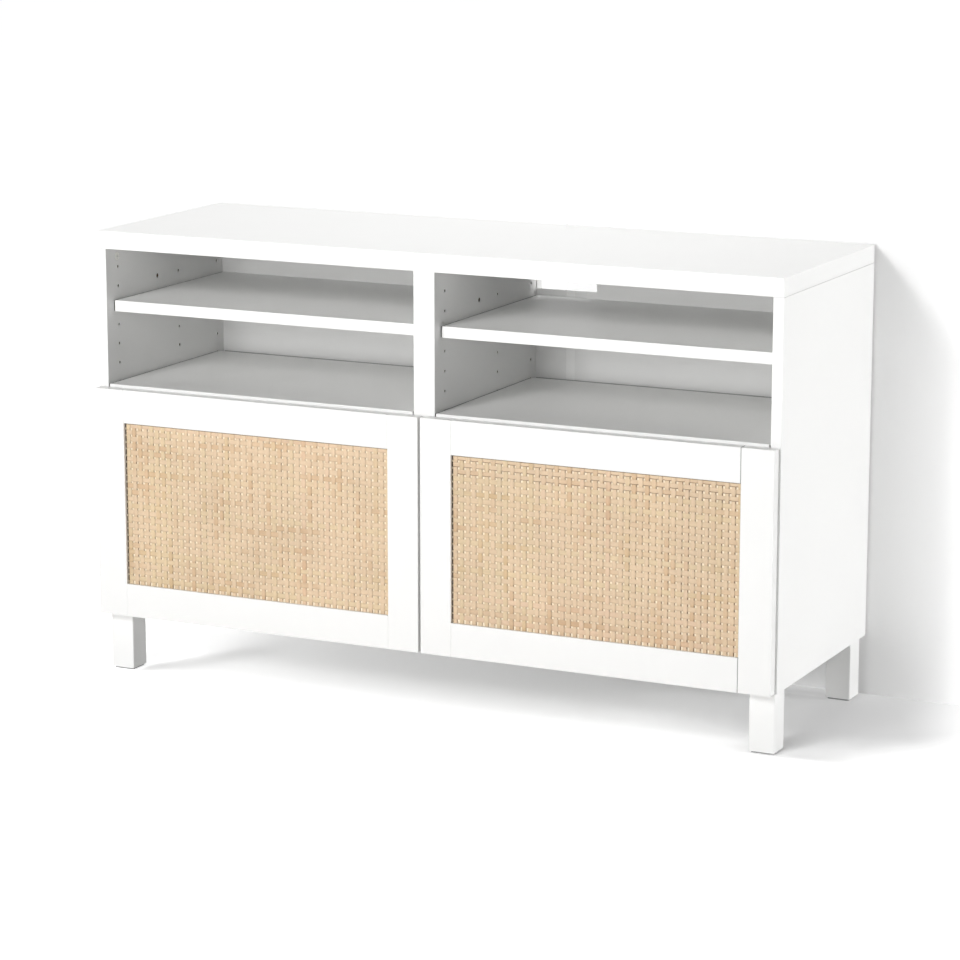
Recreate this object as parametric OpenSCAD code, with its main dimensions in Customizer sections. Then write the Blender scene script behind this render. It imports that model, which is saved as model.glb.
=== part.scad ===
// Low bench for a television: a white carcass on four square legs, with open
// shelves above two push-open drawers whose framed fronts hold woven panels.
// The front is -Y, the left is -X and the floor is z = 0. Sizes are millimetres.

/* [Bench] */
// Width over the side panels
bench_w = 1200; // [1000:10:1600]
// Height from the floor to the top face
bench_h = 740; // [690:10:900]
// Depth of the carcass, without the drawer fronts
body_d = 400; // [350:10:480]
// Height of the legs with their glides
leg_h = 100; // [70:5:150]
// Radius that eases the edges of the boards
edge_r = 1; // [0.5:0.25:2]

/* [Boards] */
// Thickness of the top panel
top_t = 29; // [22:0.5:38]
// Thickness of the side panels
side_t = 17.5; // [16:0.5:25]
// Thickness of the centre partition
partition_t = 37; // [30:1:50]
// Thickness of the bottom panel
bottom_t = 18; // [16:0.5:25]
// Thickness of the shelves
shelf_t = 18; // [16:0.5:25]
// Thickness of the back panels
back_t = 3; // [2.5:0.5:5]

/* [Back] */
// Distance of the back panels from the rear edge
back_inset = 20; // [16:1:30]
// Depth of the grooves that hold the thin panels
groove_depth = 6; // [4:0.5:7]
// Play of a thin panel in its groove
groove_play = 0.3; // [0.1:0.1:0.6]
// Width of the cable outlet in each back panel
outlet_w = 110; // [60:5:160]
// Height of the cable outlet in each back panel
outlet_h = 77; // [40:1:90]

/* [Shelves] */
// Clear height of the drawer bays
bay_h = 351; // [331:1:361]
// Gap between a shelf end and the board beside it
shelf_gap = 2; // [1.8:0.1:3]
// Gap between the middle shelves and the back panels
shelf_clear = 21; // [10:1:40]
// Row that carries the adjustable shelves, counted from the top
shelf_row = 2; // [2:1:3]
// Distance of the rear supports from the rear edge of a shelf
support_inset = 20; // [14:1:30]
// Height of a support's pin above the face that the shelf rests on
support_rise = 8; // [6:0.5:10]
// Width of a shelf support
support_w = 14; // [10:1:18]
// Reach of a shelf support under the shelf
support_reach = 13; // [9:1:18]
// Sheet thickness of a shelf support
support_t = 1.5; // [1:0.1:1.7]

/* [System holes] */
// Diameter of the shelf holes
hole_d = 5; // [4:0.5:6]
// Depth of the holes in the boards
hole_depth = 12; // [10:0.5:13]
// Distance between the rows of holes
row_pitch = 32; // [25:1:40]
// Distance of the top row below the top panel
row_drop = 34; // [32:1:50]
// Distance of the front column behind the front edge
front_col = 37; // [30:1:50]
// Distance of the middle column behind the front column
mid_col_step = 192; // [160:8:224]
// Distance of the wide hole behind the front column
wide_hole_step = 124; // [96:1:140]
// Diameter of the wide hole
wide_hole_d = 8; // [7:0.5:10]

/* [Joinery] */
// Diameter of a cam lock
cam_d = 15; // [12:0.5:16]
// Height of a cam lock
cam_h = 12.5; // [11:0.5:13.5]
// Distance of a cam's centre from the edge that it pulls on
cam_edge = 17; // [14:0.5:24]
// Distance of the outer cams from the front edge and the back panel
cam_inset = 35; // [30:1:45]
// Distance of the bottom panel's cams from the front edge and the back panel
bottom_cam_inset = 90; // [75:1:120]
// Diameter of a cam bolt's shank
cam_bolt_d = 6.5; // [5:0.5:7]
// Diameter of a wood dowel
dowel_d = 8; // [6:1:8]
// Length of a wood dowel
dowel_l = 24; // [18:1:26]
// Distance from a cam to the dowel beside it
dowel_step = 45; // [30:1:60]
// Radial clearance round a fitting in its hole
fit_gap = 0.1; // [0.05:0.05:0.2]
// Diameter of a confirmat screw's shank
confirmat_d = 6.5; // [5:0.5:7]
// Length of a confirmat screw
confirmat_l = 50; // [40:1:60]
// Diameter of a chipboard screw
screw_d = 3.5; // [3:0.25:4.5]
// Length of a chipboard screw
screw_l = 12; // [10:0.5:13]

/* [Drawer fronts] */
// Thickness of a front's frame
front_t = 18; // [16:0.5:22]
// Gap between the fronts and the carcass, which the drawers are pushed in by
front_gap = 2; // [1.8:0.1:4]
// Distance of a front's outer edge from the side of the bench
front_reveal = 3; // [1:0.5:6]
// Gap between the two fronts
front_split = 4; // [2:0.5:8]
// Height of the fronts' lower edge above the underside of the carcass
front_rise = 1; // [0:0.5:6]
// Distance of the fronts' upper edge below the top of the middle shelves
front_drop = 4.5; // [2:0.5:8]
// Width of a stile
stile_w = 54; // [45:1:80]
// Width of a top or bottom rail
rail_w = 55; // [45:1:80]
// Distance of the woven panel behind the face of the frame
weave_recess = 5; // [4:0.5:7]
// Thickness of the woven panel
weave_t = 2; // [1.5:0.5:2.5]
// Thickness of the board behind the woven panel
backing_t = 3; // [2:0.5:4]

/* [Drawer boxes] */
// Gap between a drawer box and the back panel
box_clear = 29; // [10:1:70]
// Height of a drawer box
box_h = 240; // [180:5:270]
// Height of a drawer box above the floor of its bay
box_lift = 14; // [10:1:30]
// Thickness of the drawer box boards
box_t = 12; // [10:0.5:16]
// Thickness of the drawer bottom
box_bottom_t = 4; // [3:0.5:5]
// Height of the drawer bottom above the lower edge of the box
box_bottom_rise = 10; // [8:1:16]

/* [Runners] */
// Width of the gap that a runner fills
runner_w = 12.7; // [12.5:0.1:14]
// Height of a runner's cabinet member
runner_h = 45; // [40:1:50]
// Height of the runner's middle above the floor of the bay
runner_z = 75; // [60:1:120]
// Sheet thickness of the runner members
runner_t = 1.2; // [1:0.1:1.3]
// Diameter of the balls
ball_d = 3; // [2.5:0.1:3]
// Gap between a ball and each race
ball_gap = 0.3; // [0.2:0.05:0.35]
// Number of balls in each retainer strip
ball_n = 6; // [4:1:8]
// Length of a drawer box that stays in the bench when the drawer is pulled out
runner_hold = 60; // [50:5:120]
// Gap behind the front edge where a cabinet member starts
runner_start = 2; // [1:0.5:4]

/* [Push openers] */
// Stroke of the plunger
plunger_stroke = 22; // [10:1:30]
// Diameter of the plunger
plunger_d = 7; // [5:0.5:8]
// Diameter of the plunger's cap
plunger_cap_d = 10; // [9:0.5:12]
// Gap between the plunger's cap and the closed front
plunger_gap = 1.8; // [1.7:0.1:2.4]
// Outside diameter of the housing
opener_d = 14; // [12:0.5:16]
// Distance of the plunger's axis below the middle shelf
opener_drop = 9; // [8:0.5:12]

/* [Legs] */
// Width of a square leg
leg_w = 42; // [36:1:60]
// Distance of a leg from the side of the bench
leg_side_inset = 6.5; // [0:0.5:8]
// Distance of a leg from the front and rear edges
leg_end_inset = 9; // [4:1:14]
// Thickness of a glide
glide_t = 3; // [2:0.5:6]
// Distance of a glide's edge from the leg's face
glide_inset = 3; // [2:0.5:8]
// Diameter of a leg bolt
leg_bolt_d = 8; // [6:1:10]
// Length of a leg bolt
leg_bolt_l = 55; // [40:1:65]

/* [Wall brackets] */
// Distance of a wall bracket from the middle of the bench
bracket_x = 440; // [250:10:440]
// Width of a wall bracket
bracket_w = 24; // [18:1:40]
// Height of a wall bracket
bracket_h = 26; // [22:1:40]
// Sheet thickness of a wall bracket
bracket_t = 2; // [1.5:0.5:3]
// Diameter of the hole for the wall screw
bracket_hole_d = 6; // [4:0.5:8]
// Distance of the wall screw below the top panel
bracket_hole_drop = 16; // [12:1:17]

/* [Hidden] */

white = [0.95, 0.95, 0.94];
raw_white = [0.86, 0.86, 0.85];
cane = [0.86, 0.72, 0.55];
cream = [0.97, 0.94, 0.86];
steel = [0.72, 0.73, 0.75];
zinc = [0.8, 0.8, 0.78];
beech = [0.85, 0.7, 0.5];
grey_plastic = [0.6, 0.6, 0.6];

small_fn = 24;
ball_fn = 16;
bend_n = 3;
cut = 1;

// Levels and depths of the carcass
body_y = (front_gap + front_t - body_d) / 2;
back_y = body_y + body_d;
front_face_y = body_y - front_gap - front_t;
front_back_y = body_y - front_gap;
bay_floor = leg_h + bottom_t;
shelf_z = bay_floor + bay_h;
shelf_top = shelf_z + shelf_t;
top_under = bench_h - top_t;
upper_h = top_under - shelf_top;
back_in = body_d - back_inset - back_t;
back_in_y = body_y + back_in;

// Widths of the bays, whose centres lie at -bay_x and bay_x
inner_x = bench_w / 2 - side_t;
bay_w = inner_x - partition_t / 2;
bay_x = partition_t / 2 + bay_w / 2;
shelf_w = bay_w - 2 * shelf_gap;
shelf_d = back_in - shelf_clear;
shelf_setback = back_in - shelf_d;

// Rows and columns of shelf holes
pin_play = 3;
support_lip = 2;
row_n = floor((upper_h + hole_d - row_drop) / row_pitch) + 1;
rear_col = back_in - support_inset;
mid_rear_col = shelf_d - support_inset;
row_z = [for (i = [0 : row_n - 1]) top_under - row_drop - i * row_pitch];
shelf_pin_z = row_z[shelf_row];
adjustable_z = shelf_pin_z - support_rise;
middle_pin_z = shelf_z + support_rise;
pin_d = hole_d - 2 * fit_gap;
pin_l = hole_depth - pin_play;

// Lines of the cam joints
cam_axis = side_t / 2;
cam_cols = [cam_inset, back_in - cam_inset];
dowel_cols = [cam_inset + dowel_step, back_in - cam_inset - dowel_step];
bottom_cam_cols = [bottom_cam_inset, back_in - bottom_cam_inset];
bottom_dowel_cols = [bottom_cam_inset + dowel_step, back_in - bottom_cam_inset - dowel_step];
bottom_mid_z = leg_h + bottom_t / 2;
cam_slot_l = 8;
cam_slot_w = 1.2;
cam_slot_depth = 1.8;
cam_mouth_play = 1;
cam_mouth_back = 3;
bolt_play = 0.3;
bolt_head_d = cam_bolt_d;
bolt_neck_d = cam_bolt_d - 2;
bolt_head_h = 3;
bolt_neck_h = 4;
bolt_head_back = 2;
bolt_thread_d = hole_d - 2 * fit_gap;
bolt_bore_d = cam_bolt_d + 2 * bolt_play;
bolt_mate_l = 11;
confirmat_step = 25;
confirmat_inset = cam_inset + confirmat_step;
confirmat_cols = [confirmat_inset, back_in / 2, back_in - confirmat_inset];
confirmat_head_d = confirmat_d + 3;
confirmat_head_h = 3;
screw_head_d = 2 * screw_d;
screw_head_h = 1.6;
screw_tip = 3;

// Drawer fronts
front_w = (bench_w - 2 * front_reveal - front_split) / 2;
front_x = front_split / 2 + front_w / 2;
front_z0 = leg_h + front_rise;
front_z1 = shelf_top - front_drop;
panel_y = front_face_y + weave_recess;
panel_tongue = groove_depth - groove_play;
panel_x0 = -front_w / 2 + stile_w;
panel_x1 = front_w / 2 - stile_w;
panel_z0 = front_z0 + rail_w;
panel_z1 = front_z1 - rail_w;

// Drawer boxes
box_w = bay_w - 2 * runner_w;
box_z = bay_floor + box_lift;
box_y0 = front_back_y;
box_y1 = back_in_y - box_clear;
box_d = box_y1 - box_y0;
box_groove = box_t / 2;
drawer_travel = box_d - runner_hold;
rail_mid_z = bay_floor + runner_z;
rail_y0 = body_y + runner_start;
rail_l = box_d - 2 * runner_start;
rail_screw_inset = 35;
rail_screw_cols = [rail_screw_inset, rail_l / 2, rail_l - rail_screw_inset];
rail_hole_inset = 55;
rail_hole_cols = [rail_hole_inset, rail_l / 2, rail_l - rail_hole_inset];
rail_hole_d = 9;
rail_stop_h = 16;
rail_stop_room = 5;

// Screws of the box corners, and screws from the box front into the stiles
corner_screw_rise = 22;
corner_screw_drop = 30;
corner_screw_z = [box_z + corner_screw_rise, box_z + box_h - corner_screw_drop];
front_screw_rise = 30;
front_screw_drop = 45;
front_screw_z = [box_z + front_screw_rise, box_z + box_h - front_screw_drop];
front_screw_inset = 5;
front_screw_x = box_w / 2 - box_t - front_screw_inset;
front_screw_skin = 1.5;
front_screw_hold = front_t - weave_recess - weave_t - backing_t - front_screw_skin;

// Runner section: distances from the wall, and half heights
race_h = ball_d + 2 * ball_gap;
outer_h = runner_h / 2;
middle_h = outer_h - runner_t - race_h;
inner_h = middle_h - runner_t - race_h;
outer_back_off = 1.7;
outer_reach = runner_w - outer_back_off;
middle_start = 3.4;
middle_back_off = 1.3;
middle_reach = runner_w - middle_back_off;
inner_start = 5.9;
lip_clear = 0.4;
outer_ball_h = outer_h - runner_t - race_h / 2;
inner_ball_h = middle_h - runner_t - race_h / 2;
ball_x = 7.5;
bend_r = 1.4;
cage_w = 4;
cage_t = 0.8;
cage_margin = 12;
pocket_gap = 0.15;
cage_l = rail_l - drawer_travel / 2 - 2 * cage_margin;
cage_y0 = rail_y0 + drawer_travel / 4 + cage_margin;

// Push openers
opener_z = shelf_z - opener_drop;
cap_l = 4;
cap_y = front_back_y + plunger_gap;
cap_seat_gap = 0.5;
opener_y = cap_y + cap_l + cap_seat_gap;
plunger_hold = 22;
plunger_l = plunger_stroke + plunger_hold;
opener_end = 8;
opener_l = plunger_l + opener_end;
opener_bore_play = 0.6;
opener_bore_d = plunger_d + opener_bore_play;
ear_w = 34;
ear_l = 12;
ear_t = 3;
ear_hole_x = 12;

// Legs
leg_x = bench_w / 2 - leg_side_inset - leg_w / 2;
leg_ys = [body_y + leg_end_inset + leg_w / 2, back_y - leg_end_inset - leg_w / 2];
leg_r = 2;
leg_bolt_in = 13;
glide_pin_d = 6;
glide_pin_l = 12;
leg_dowel_shift = 13;
leg_dowel_in = 10;

// Gap between a wall bracket and the back panel
bracket_play = 2;

// A box from one corner to the opposite corner
module slab(lo, hi) {
    translate(lo)
        cube(hi - lo);
}

// A rectangle with round corners, from the origin
module round_rect(size, r) {
    translate([r, 0])
        square([size.x - 2 * r, size.y]);
    translate([0, r])
        square([size.x, size.y - 2 * r]);
    for (x = [r, size.x - r], y = [r, size.y - r])
        translate([x, y])
            circle(r, $fn = small_fn);
}

// A board with eased edges along Y and along Z
module board(lo, hi, r = edge_r) {
    size = hi - lo;
    translate(lo)
        intersection() {
            linear_extrude(size.z)
                round_rect([size.x, size.y], r);
            translate([0, size.y, 0])
                rotate([90, 0, 0])
                    linear_extrude(size.y)
                        round_rect([size.x, size.z], r);
        }
}

// Turns the +Z direction of the children to a given axis direction
module aim(dir) {
    turn = dir.x != 0 ? [0, 90 * dir.x, 0] : dir.y != 0 ? [-90 * dir.y, 0, 0] : [dir.z < 0 ? 180 : 0, 0, 0];
    rotate(turn)
        children();
}

// A drill hole from a point on a face into the board
module drill(at, dir, d, depth) {
    translate(at)
        aim(dir)
            translate([0, 0, -cut])
                cylinder(d = d, h = depth + cut, $fn = small_fn);
}

// A round pin that starts at a point and runs along a direction
module rod(at, dir, d, length) {
    translate(at)
        aim(dir)
            cylinder(d = d, h = length, $fn = small_fn);
}

// A screw whose head lies outside the face and whose shank runs into it
module screw(at, dir, d = screw_d, length = screw_l, head_d = screw_head_d, head_h = screw_head_h) {
    translate(at)
        aim(dir) {
            cylinder(d = d, h = length, $fn = small_fn);
            translate([0, 0, -head_h])
                cylinder(d = head_d, h = head_h, $fn = small_fn);
        }
}

// A pilot hole that clears a screw's shank
module pilot(at, dir, d = screw_d, length = screw_l) {
    drill(at, dir, d + 2 * fit_gap, length + cut);
}

// The children and their mirror image in X
module both_sides() {
    children();
    mirror([1, 0, 0])
        children();
}

// A cam lock: its face lies at the point, and the bolt enters along bolt_dir
module cam_lock(at, dir, bolt_dir) {
    difference() {
        rod(at, dir, cam_d - 2 * fit_gap, cam_h - fit_gap);
        translate(at + dir * cam_axis - bolt_dir * cam_mouth_back)
            aim(bolt_dir)
                cylinder(d = bolt_head_d + cam_mouth_play, h = cam_d, $fn = small_fn);
        translate(at)
            aim(dir)
                for (a = [0, 90])
                    rotate(a)
                        translate([-cam_slot_l / 2, -cam_slot_w / 2, -cut])
                            cube([cam_slot_l, cam_slot_w, cut + cam_slot_depth]);
    }
}

// The bolt of a cam joint, from the cam's middle into the mating board
module cam_bolt(centre, dir) {
    shank_z = bolt_head_h + bolt_neck_h;
    shank_end = cam_edge + bolt_head_back;
    translate(centre - dir * bolt_head_back)
        aim(dir) {
            cylinder(d = bolt_head_d, h = bolt_head_h, $fn = small_fn);
            cylinder(d = bolt_neck_d, h = shank_z, $fn = small_fn);
            translate([0, 0, shank_z])
                cylinder(d = cam_bolt_d, h = shank_end - shank_z, $fn = small_fn);
            cylinder(d = bolt_thread_d, h = shank_end + bolt_mate_l, $fn = small_fn);
        }
}

// The bores for a cam and its bolt in the board that holds the cam
module cam_bores(at, dir, bolt_dir) {
    drill(at, dir, cam_d, cam_h);
    drill(at + dir * cam_axis + bolt_dir * cam_edge, -bolt_dir, bolt_bore_d, cam_edge);
}

// The hole for a dowel, half of its length and a little play deep
module dowel_hole(at, dir) {
    drill(at, dir, dowel_d + 2 * fit_gap, dowel_l / 2 + 0.5);
}

module dowel(at, dir) {
    rod(at - dir * dowel_l / 2, dir, dowel_d, dowel_l);
}

// Shelf holes in a face whose normal into the board is dir
module system_holes(face_x, dir) {
    for (z = row_z, col = [front_col, front_col + mid_col_step, rear_col])
        drill([face_x, body_y + col, z], dir, hole_d, hole_depth);
    drill([face_x, body_y + front_col + wide_hole_step, row_z[1]], dir, wide_hole_d, hole_depth);
    for (col = [front_col, mid_rear_col])
        drill([face_x, body_y + col, middle_pin_z], dir, hole_d, hole_depth);
    for (col = rail_screw_cols)
        pilot([face_x, rail_y0 + col, rail_mid_z], dir);
}

// The groove for a back panel in a board beside it
module side_groove(face_x, dir) {
    groove_y = back_in_y - groove_play / 2;
    x0 = min(face_x - dir.x * cut, face_x + dir.x * groove_depth);
    x1 = max(face_x - dir.x * cut, face_x + dir.x * groove_depth);
    slab([x0, groove_y, bay_floor - groove_depth],
         [x1, groove_y + back_t + groove_play, top_under + cut]);
}

// Positions of the cam bolts in the top panel and of the dowels beside them
top_joint_x = [-inner_x - cam_axis, -partition_t / 2 + cam_axis, inner_x + cam_axis];

module top_panel() {
    groove_y = back_in_y - groove_play / 2;
    color(white)
        difference() {
            board([-bench_w / 2, body_y, top_under], [bench_w / 2, back_y, bench_h]);
            slab([-inner_x - groove_depth, groove_y, top_under - cut],
                 [inner_x + groove_depth, groove_y + back_t + groove_play, top_under + groove_depth]);
            for (x = top_joint_x) {
                for (col = cam_cols)
                    drill([x, body_y + col, top_under], [0, 0, 1], hole_d, bolt_mate_l + 1);
                for (col = dowel_cols)
                    dowel_hole([x, body_y + col, top_under], [0, 0, 1]);
            }
            for (x = [-bracket_x, bracket_x])
                pilot([x, back_y - back_inset / 2, top_under], [0, 0, 1]);
        }
}

module bottom_panel() {
    groove_y = back_in_y - groove_play / 2;
    color(white)
        difference() {
            board([-inner_x, body_y, leg_h], [inner_x, back_y, bay_floor]);
            slab([-inner_x - cut, groove_y, bay_floor - groove_depth],
                 [inner_x + cut, groove_y + back_t + groove_play, bay_floor + cut]);
            for (s = [-1, 1]) {
                for (col = bottom_cam_cols) {
                    drill([s * (inner_x - cam_edge), body_y + col, leg_h], [0, 0, 1], cam_d, cam_h);
                    drill([s * inner_x, body_y + col, leg_h + cam_axis], [-s, 0, 0], bolt_bore_d, cam_edge);
                }
                for (col = bottom_dowel_cols)
                    dowel_hole([s * inner_x, body_y + col, bottom_mid_z], [-s, 0, 0]);
                for (y = leg_ys) {
                    drill([s * leg_x, y, leg_h], [0, 0, 1], leg_bolt_d + 2 * fit_gap, leg_bolt_in + 1);
                    drill([s * (leg_x - leg_dowel_shift), y, leg_h], [0, 0, 1],
                          dowel_d + 2 * fit_gap, leg_dowel_in + 1);
                }
            }
            for (col = confirmat_cols) {
                drill([0, body_y + col, leg_h], [0, 0, 1], confirmat_d + 2 * fit_gap, bottom_t + cut);
                drill([0, body_y + col, leg_h], [0, 0, 1],
                      confirmat_head_d + 2 * fit_gap, confirmat_head_h + fit_gap);
            }
            for (col = dowel_cols)
                dowel_hole([cam_edge / 2, body_y + col, bay_floor], [0, 0, -1]);
        }
}

module left_side() {
    color(white)
        difference() {
            board([-bench_w / 2, body_y, leg_h], [-inner_x, back_y, top_under]);
            system_holes(-inner_x, [-1, 0, 0]);
            side_groove(-inner_x, [-1, 0, 0]);
            for (col = cam_cols)
                cam_bores([-inner_x, body_y + col, top_under - cam_edge], [-1, 0, 0], [0, 0, 1]);
            for (col = dowel_cols)
                dowel_hole([-inner_x - cam_axis, body_y + col, top_under], [0, 0, -1]);
            for (col = bottom_cam_cols)
                drill([-inner_x, body_y + col, leg_h + cam_axis], [-1, 0, 0], hole_d, bolt_mate_l + 1);
            for (col = bottom_dowel_cols)
                drill([-inner_x, body_y + col, bottom_mid_z], [-1, 0, 0],
                      dowel_d + 2 * fit_gap, dowel_l / 2 + 0.5);
        }
}

module right_side() {
    mirror([1, 0, 0])
        left_side();
}

module centre_partition() {
    half = partition_t / 2;
    color(white)
        difference() {
            board([-half, body_y, bay_floor], [half, back_y, top_under]);
            for (s = [-1, 1]) {
                system_holes(s * half, [-s, 0, 0]);
                side_groove(s * half, [-s, 0, 0]);
            }
            for (col = cam_cols)
                cam_bores([-half, body_y + col, top_under - cam_edge], [1, 0, 0], [0, 0, 1]);
            for (col = dowel_cols) {
                dowel_hole([-half + cam_axis, body_y + col, top_under], [0, 0, -1]);
                dowel_hole([cam_edge / 2, body_y + col, bay_floor], [0, 0, 1]);
            }
            for (col = confirmat_cols)
                drill([0, body_y + col, bay_floor], [0, 0, 1],
                      confirmat_d + 2 * fit_gap, confirmat_l - bottom_t + cut);
        }
}

// A shelf in the left bay, from its front edge behind the front of the carcass
module shelf(setback, z) {
    color(white)
        board([-bay_x - shelf_w / 2, body_y + setback, z],
              [-bay_x + shelf_w / 2, body_y + setback + shelf_d, z + shelf_t]);
}

module left_middle_shelf() {
    difference() {
        shelf(0, shelf_z);
        for (s = [-1, 1])
            pilot([-bay_x + s * ear_hole_x, opener_y + opener_l - ear_l / 2, shelf_z], [0, 0, 1]);
    }
}

module right_middle_shelf() {
    mirror([1, 0, 0])
        left_middle_shelf();
}

module left_adjustable_shelf() {
    shelf(shelf_setback, adjustable_z);
}

module right_adjustable_shelf() {
    mirror([1, 0, 0])
        left_adjustable_shelf();
}

// The left back panel, notched beside the partition for cables
module left_back_panel() {
    tongue = groove_depth - groove_play;
    color(white)
        difference() {
            slab([-inner_x - tongue, back_in_y, bay_floor - tongue],
                 [-partition_t / 2 + tongue, back_in_y + back_t, top_under + tongue]);
            slab([-partition_t / 2 - outlet_w, back_in_y - cut, top_under - outlet_h],
                 [-partition_t / 2 + tongue + cut, back_in_y + back_t + cut, top_under + tongue + cut]);
        }
}

module right_back_panel() {
    mirror([1, 0, 0])
        left_back_panel();
}

// An angle support with a pin: the wall lies at the point, and the shelf towards dir
module shelf_support(at, dir) {
    wall_x = min(at.x, at.x + dir.x * support_t);
    seat_x = min(at.x, at.x + dir.x * support_reach);
    top = at.z + support_rise - support_lip;
    union() {
        slab([wall_x, at.y - support_w / 2, at.z - support_rise - support_t],
             [wall_x + support_t, at.y + support_w / 2, top]);
        slab([seat_x, at.y - support_w / 2, at.z - support_rise - support_t],
             [seat_x + support_reach, at.y + support_w / 2, at.z - support_rise]);
        rod(at, -dir, pin_d, pin_l);
    }
}

module shelf_supports() {
    rests = [[front_col, middle_pin_z], [mid_rear_col, middle_pin_z],
             [front_col, shelf_pin_z], [rear_col, shelf_pin_z]];
    color(zinc)
        both_sides()
            for (rest = rests) {
                shelf_support([-inner_x, body_y + rest[0], rest[1]], [1, 0, 0]);
                shelf_support([-partition_t / 2, body_y + rest[0], rest[1]], [-1, 0, 0]);
            }
}

module cam_locks() {
    color(zinc) {
        for (col = cam_cols) {
            both_sides()
                cam_lock([-inner_x, body_y + col, top_under - cam_edge], [-1, 0, 0], [0, 0, 1]);
            cam_lock([-partition_t / 2, body_y + col, top_under - cam_edge], [1, 0, 0], [0, 0, 1]);
        }
        both_sides()
            for (col = bottom_cam_cols)
                cam_lock([-inner_x + cam_edge, body_y + col, leg_h], [0, 0, 1], [-1, 0, 0]);
    }
}

module cam_bolts() {
    color(steel) {
        for (x = top_joint_x, col = cam_cols)
            cam_bolt([x, body_y + col, top_under - cam_edge], [0, 0, 1]);
        both_sides()
            for (col = bottom_cam_cols)
                cam_bolt([-inner_x + cam_edge, body_y + col, leg_h + cam_axis], [-1, 0, 0]);
    }
}

module wood_dowels() {
    color(beech) {
        for (x = top_joint_x, col = dowel_cols)
            dowel([x, body_y + col, top_under], [0, 0, 1]);
        for (col = dowel_cols)
            dowel([cam_edge / 2, body_y + col, bay_floor], [0, 0, 1]);
        both_sides() {
            for (col = bottom_dowel_cols)
                dowel([-inner_x, body_y + col, bottom_mid_z], [1, 0, 0]);
            for (y = leg_ys)
                rod([-leg_x + leg_dowel_shift, y, leg_h - leg_dowel_in], [0, 0, 1], dowel_d, 2 * leg_dowel_in);
        }
    }
}

// Screws of the partition, the cabinet rails, the push openers and the brackets
module carcass_screws() {
    color(steel) {
        for (col = confirmat_cols)
            screw([0, body_y + col, leg_h + confirmat_head_h], [0, 0, 1],
                  confirmat_d, confirmat_l - confirmat_head_h, confirmat_head_d, confirmat_head_h);
        both_sides() {
            for (col = rail_screw_cols) {
                screw([-inner_x + runner_t, rail_y0 + col, rail_mid_z], [-1, 0, 0]);
                screw([-partition_t / 2 - runner_t, rail_y0 + col, rail_mid_z], [1, 0, 0]);
            }
            for (s = [-1, 1])
                screw([-bay_x + s * ear_hole_x, opener_y + opener_l - ear_l / 2, shelf_z - ear_t], [0, 0, 1]);
            screw([-bracket_x, back_y - back_inset / 2, top_under - bracket_t], [0, 0, 1]);
        }
    }
}

// A leg between its glide and the carcass, with its bolt hole and dowel hole
module leg(x, y) {
    inward = x < 0 ? 1 : -1;
    color(white)
        difference() {
            translate([x - leg_w / 2, y - leg_w / 2, glide_t])
                linear_extrude(leg_h - glide_t)
                    round_rect([leg_w, leg_w], leg_r);
            drill([x, y, leg_h], [0, 0, -1], leg_bolt_d + 2 * fit_gap, leg_bolt_l - leg_bolt_in + 1);
            drill([x + inward * leg_dowel_shift, y, leg_h], [0, 0, -1],
                  dowel_d + 2 * fit_gap, leg_dowel_in + 1);
            drill([x, y, glide_t], [0, 0, 1], glide_pin_d + 2 * fit_gap, glide_pin_l + 1);
        }
}

module front_left_leg() {
    leg(-leg_x, leg_ys[0]);
}

module front_right_leg() {
    leg(leg_x, leg_ys[0]);
}

module back_left_leg() {
    leg(-leg_x, leg_ys[1]);
}

module back_right_leg() {
    leg(leg_x, leg_ys[1]);
}

module leg_bolts() {
    color(steel)
        for (x = [-leg_x, leg_x], y = leg_ys)
            rod([x, y, leg_h + leg_bolt_in - leg_bolt_l], [0, 0, 1], leg_bolt_d, leg_bolt_l);
}

module leg_glides() {
    size = leg_w - 2 * glide_inset;
    color(grey_plastic)
        for (x = [-leg_x, leg_x], y = leg_ys) {
            translate([x - size / 2, y - size / 2, 0])
                linear_extrude(glide_t)
                    round_rect([size, size], leg_r);
            rod([x, y, 0], [0, 0, 1], glide_pin_d, glide_t + glide_pin_l);
        }
}

// Angle brackets behind the back panels that tie the bench to a wall
module wall_brackets() {
    hole_z = top_under - bracket_hole_drop;
    color(steel)
        for (x = [-bracket_x, bracket_x])
            difference() {
                union() {
                    slab([x - bracket_w / 2, back_y - bracket_t, top_under - bracket_h],
                         [x + bracket_w / 2, back_y, top_under]);
                    slab([x - bracket_w / 2, back_y - back_inset + bracket_play, top_under - bracket_t],
                         [x + bracket_w / 2, back_y, top_under]);
                }
                drill([x, back_y, hole_z], [0, -1, 0], bracket_hole_d, bracket_t + cut);
                pilot([x, back_y - back_inset / 2, top_under - bracket_t], [0, 0, 1]);
            }
}

// Outline of a folded strip: a line through the corners, with each corner bent
// to the same radius, and moved sideways by half the sheet on both sides
function unit(v) = v / norm(v);
function left_of(v) = [-v.y, v.x];
function strip_side(p, off) = [
    p[0] + off * left_of(unit(p[1] - p[0])),
    for (i = [1 : len(p) - 2])
        let (
            a = unit(p[i] - p[i - 1]),
            b = unit(p[i + 1] - p[i]),
            centre = p[i] + (b - a) * bend_r,
            rho = bend_r - off * sign(cross(a, b))
        )
        for (k = [0 : bend_n])
            centre + rho * (a * sin(90 * k / bend_n) - b * cos(90 * k / bend_n)),
    p[len(p) - 1] + off * left_of(unit(p[len(p) - 1] - p[len(p) - 2]))
];
function reversed(list) = [for (i = [len(list) - 1 : -1 : 0]) list[i]];
function strip_outline(p) = concat(strip_side(p, runner_t / 2), reversed(strip_side(p, -runner_t / 2)));

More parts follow.
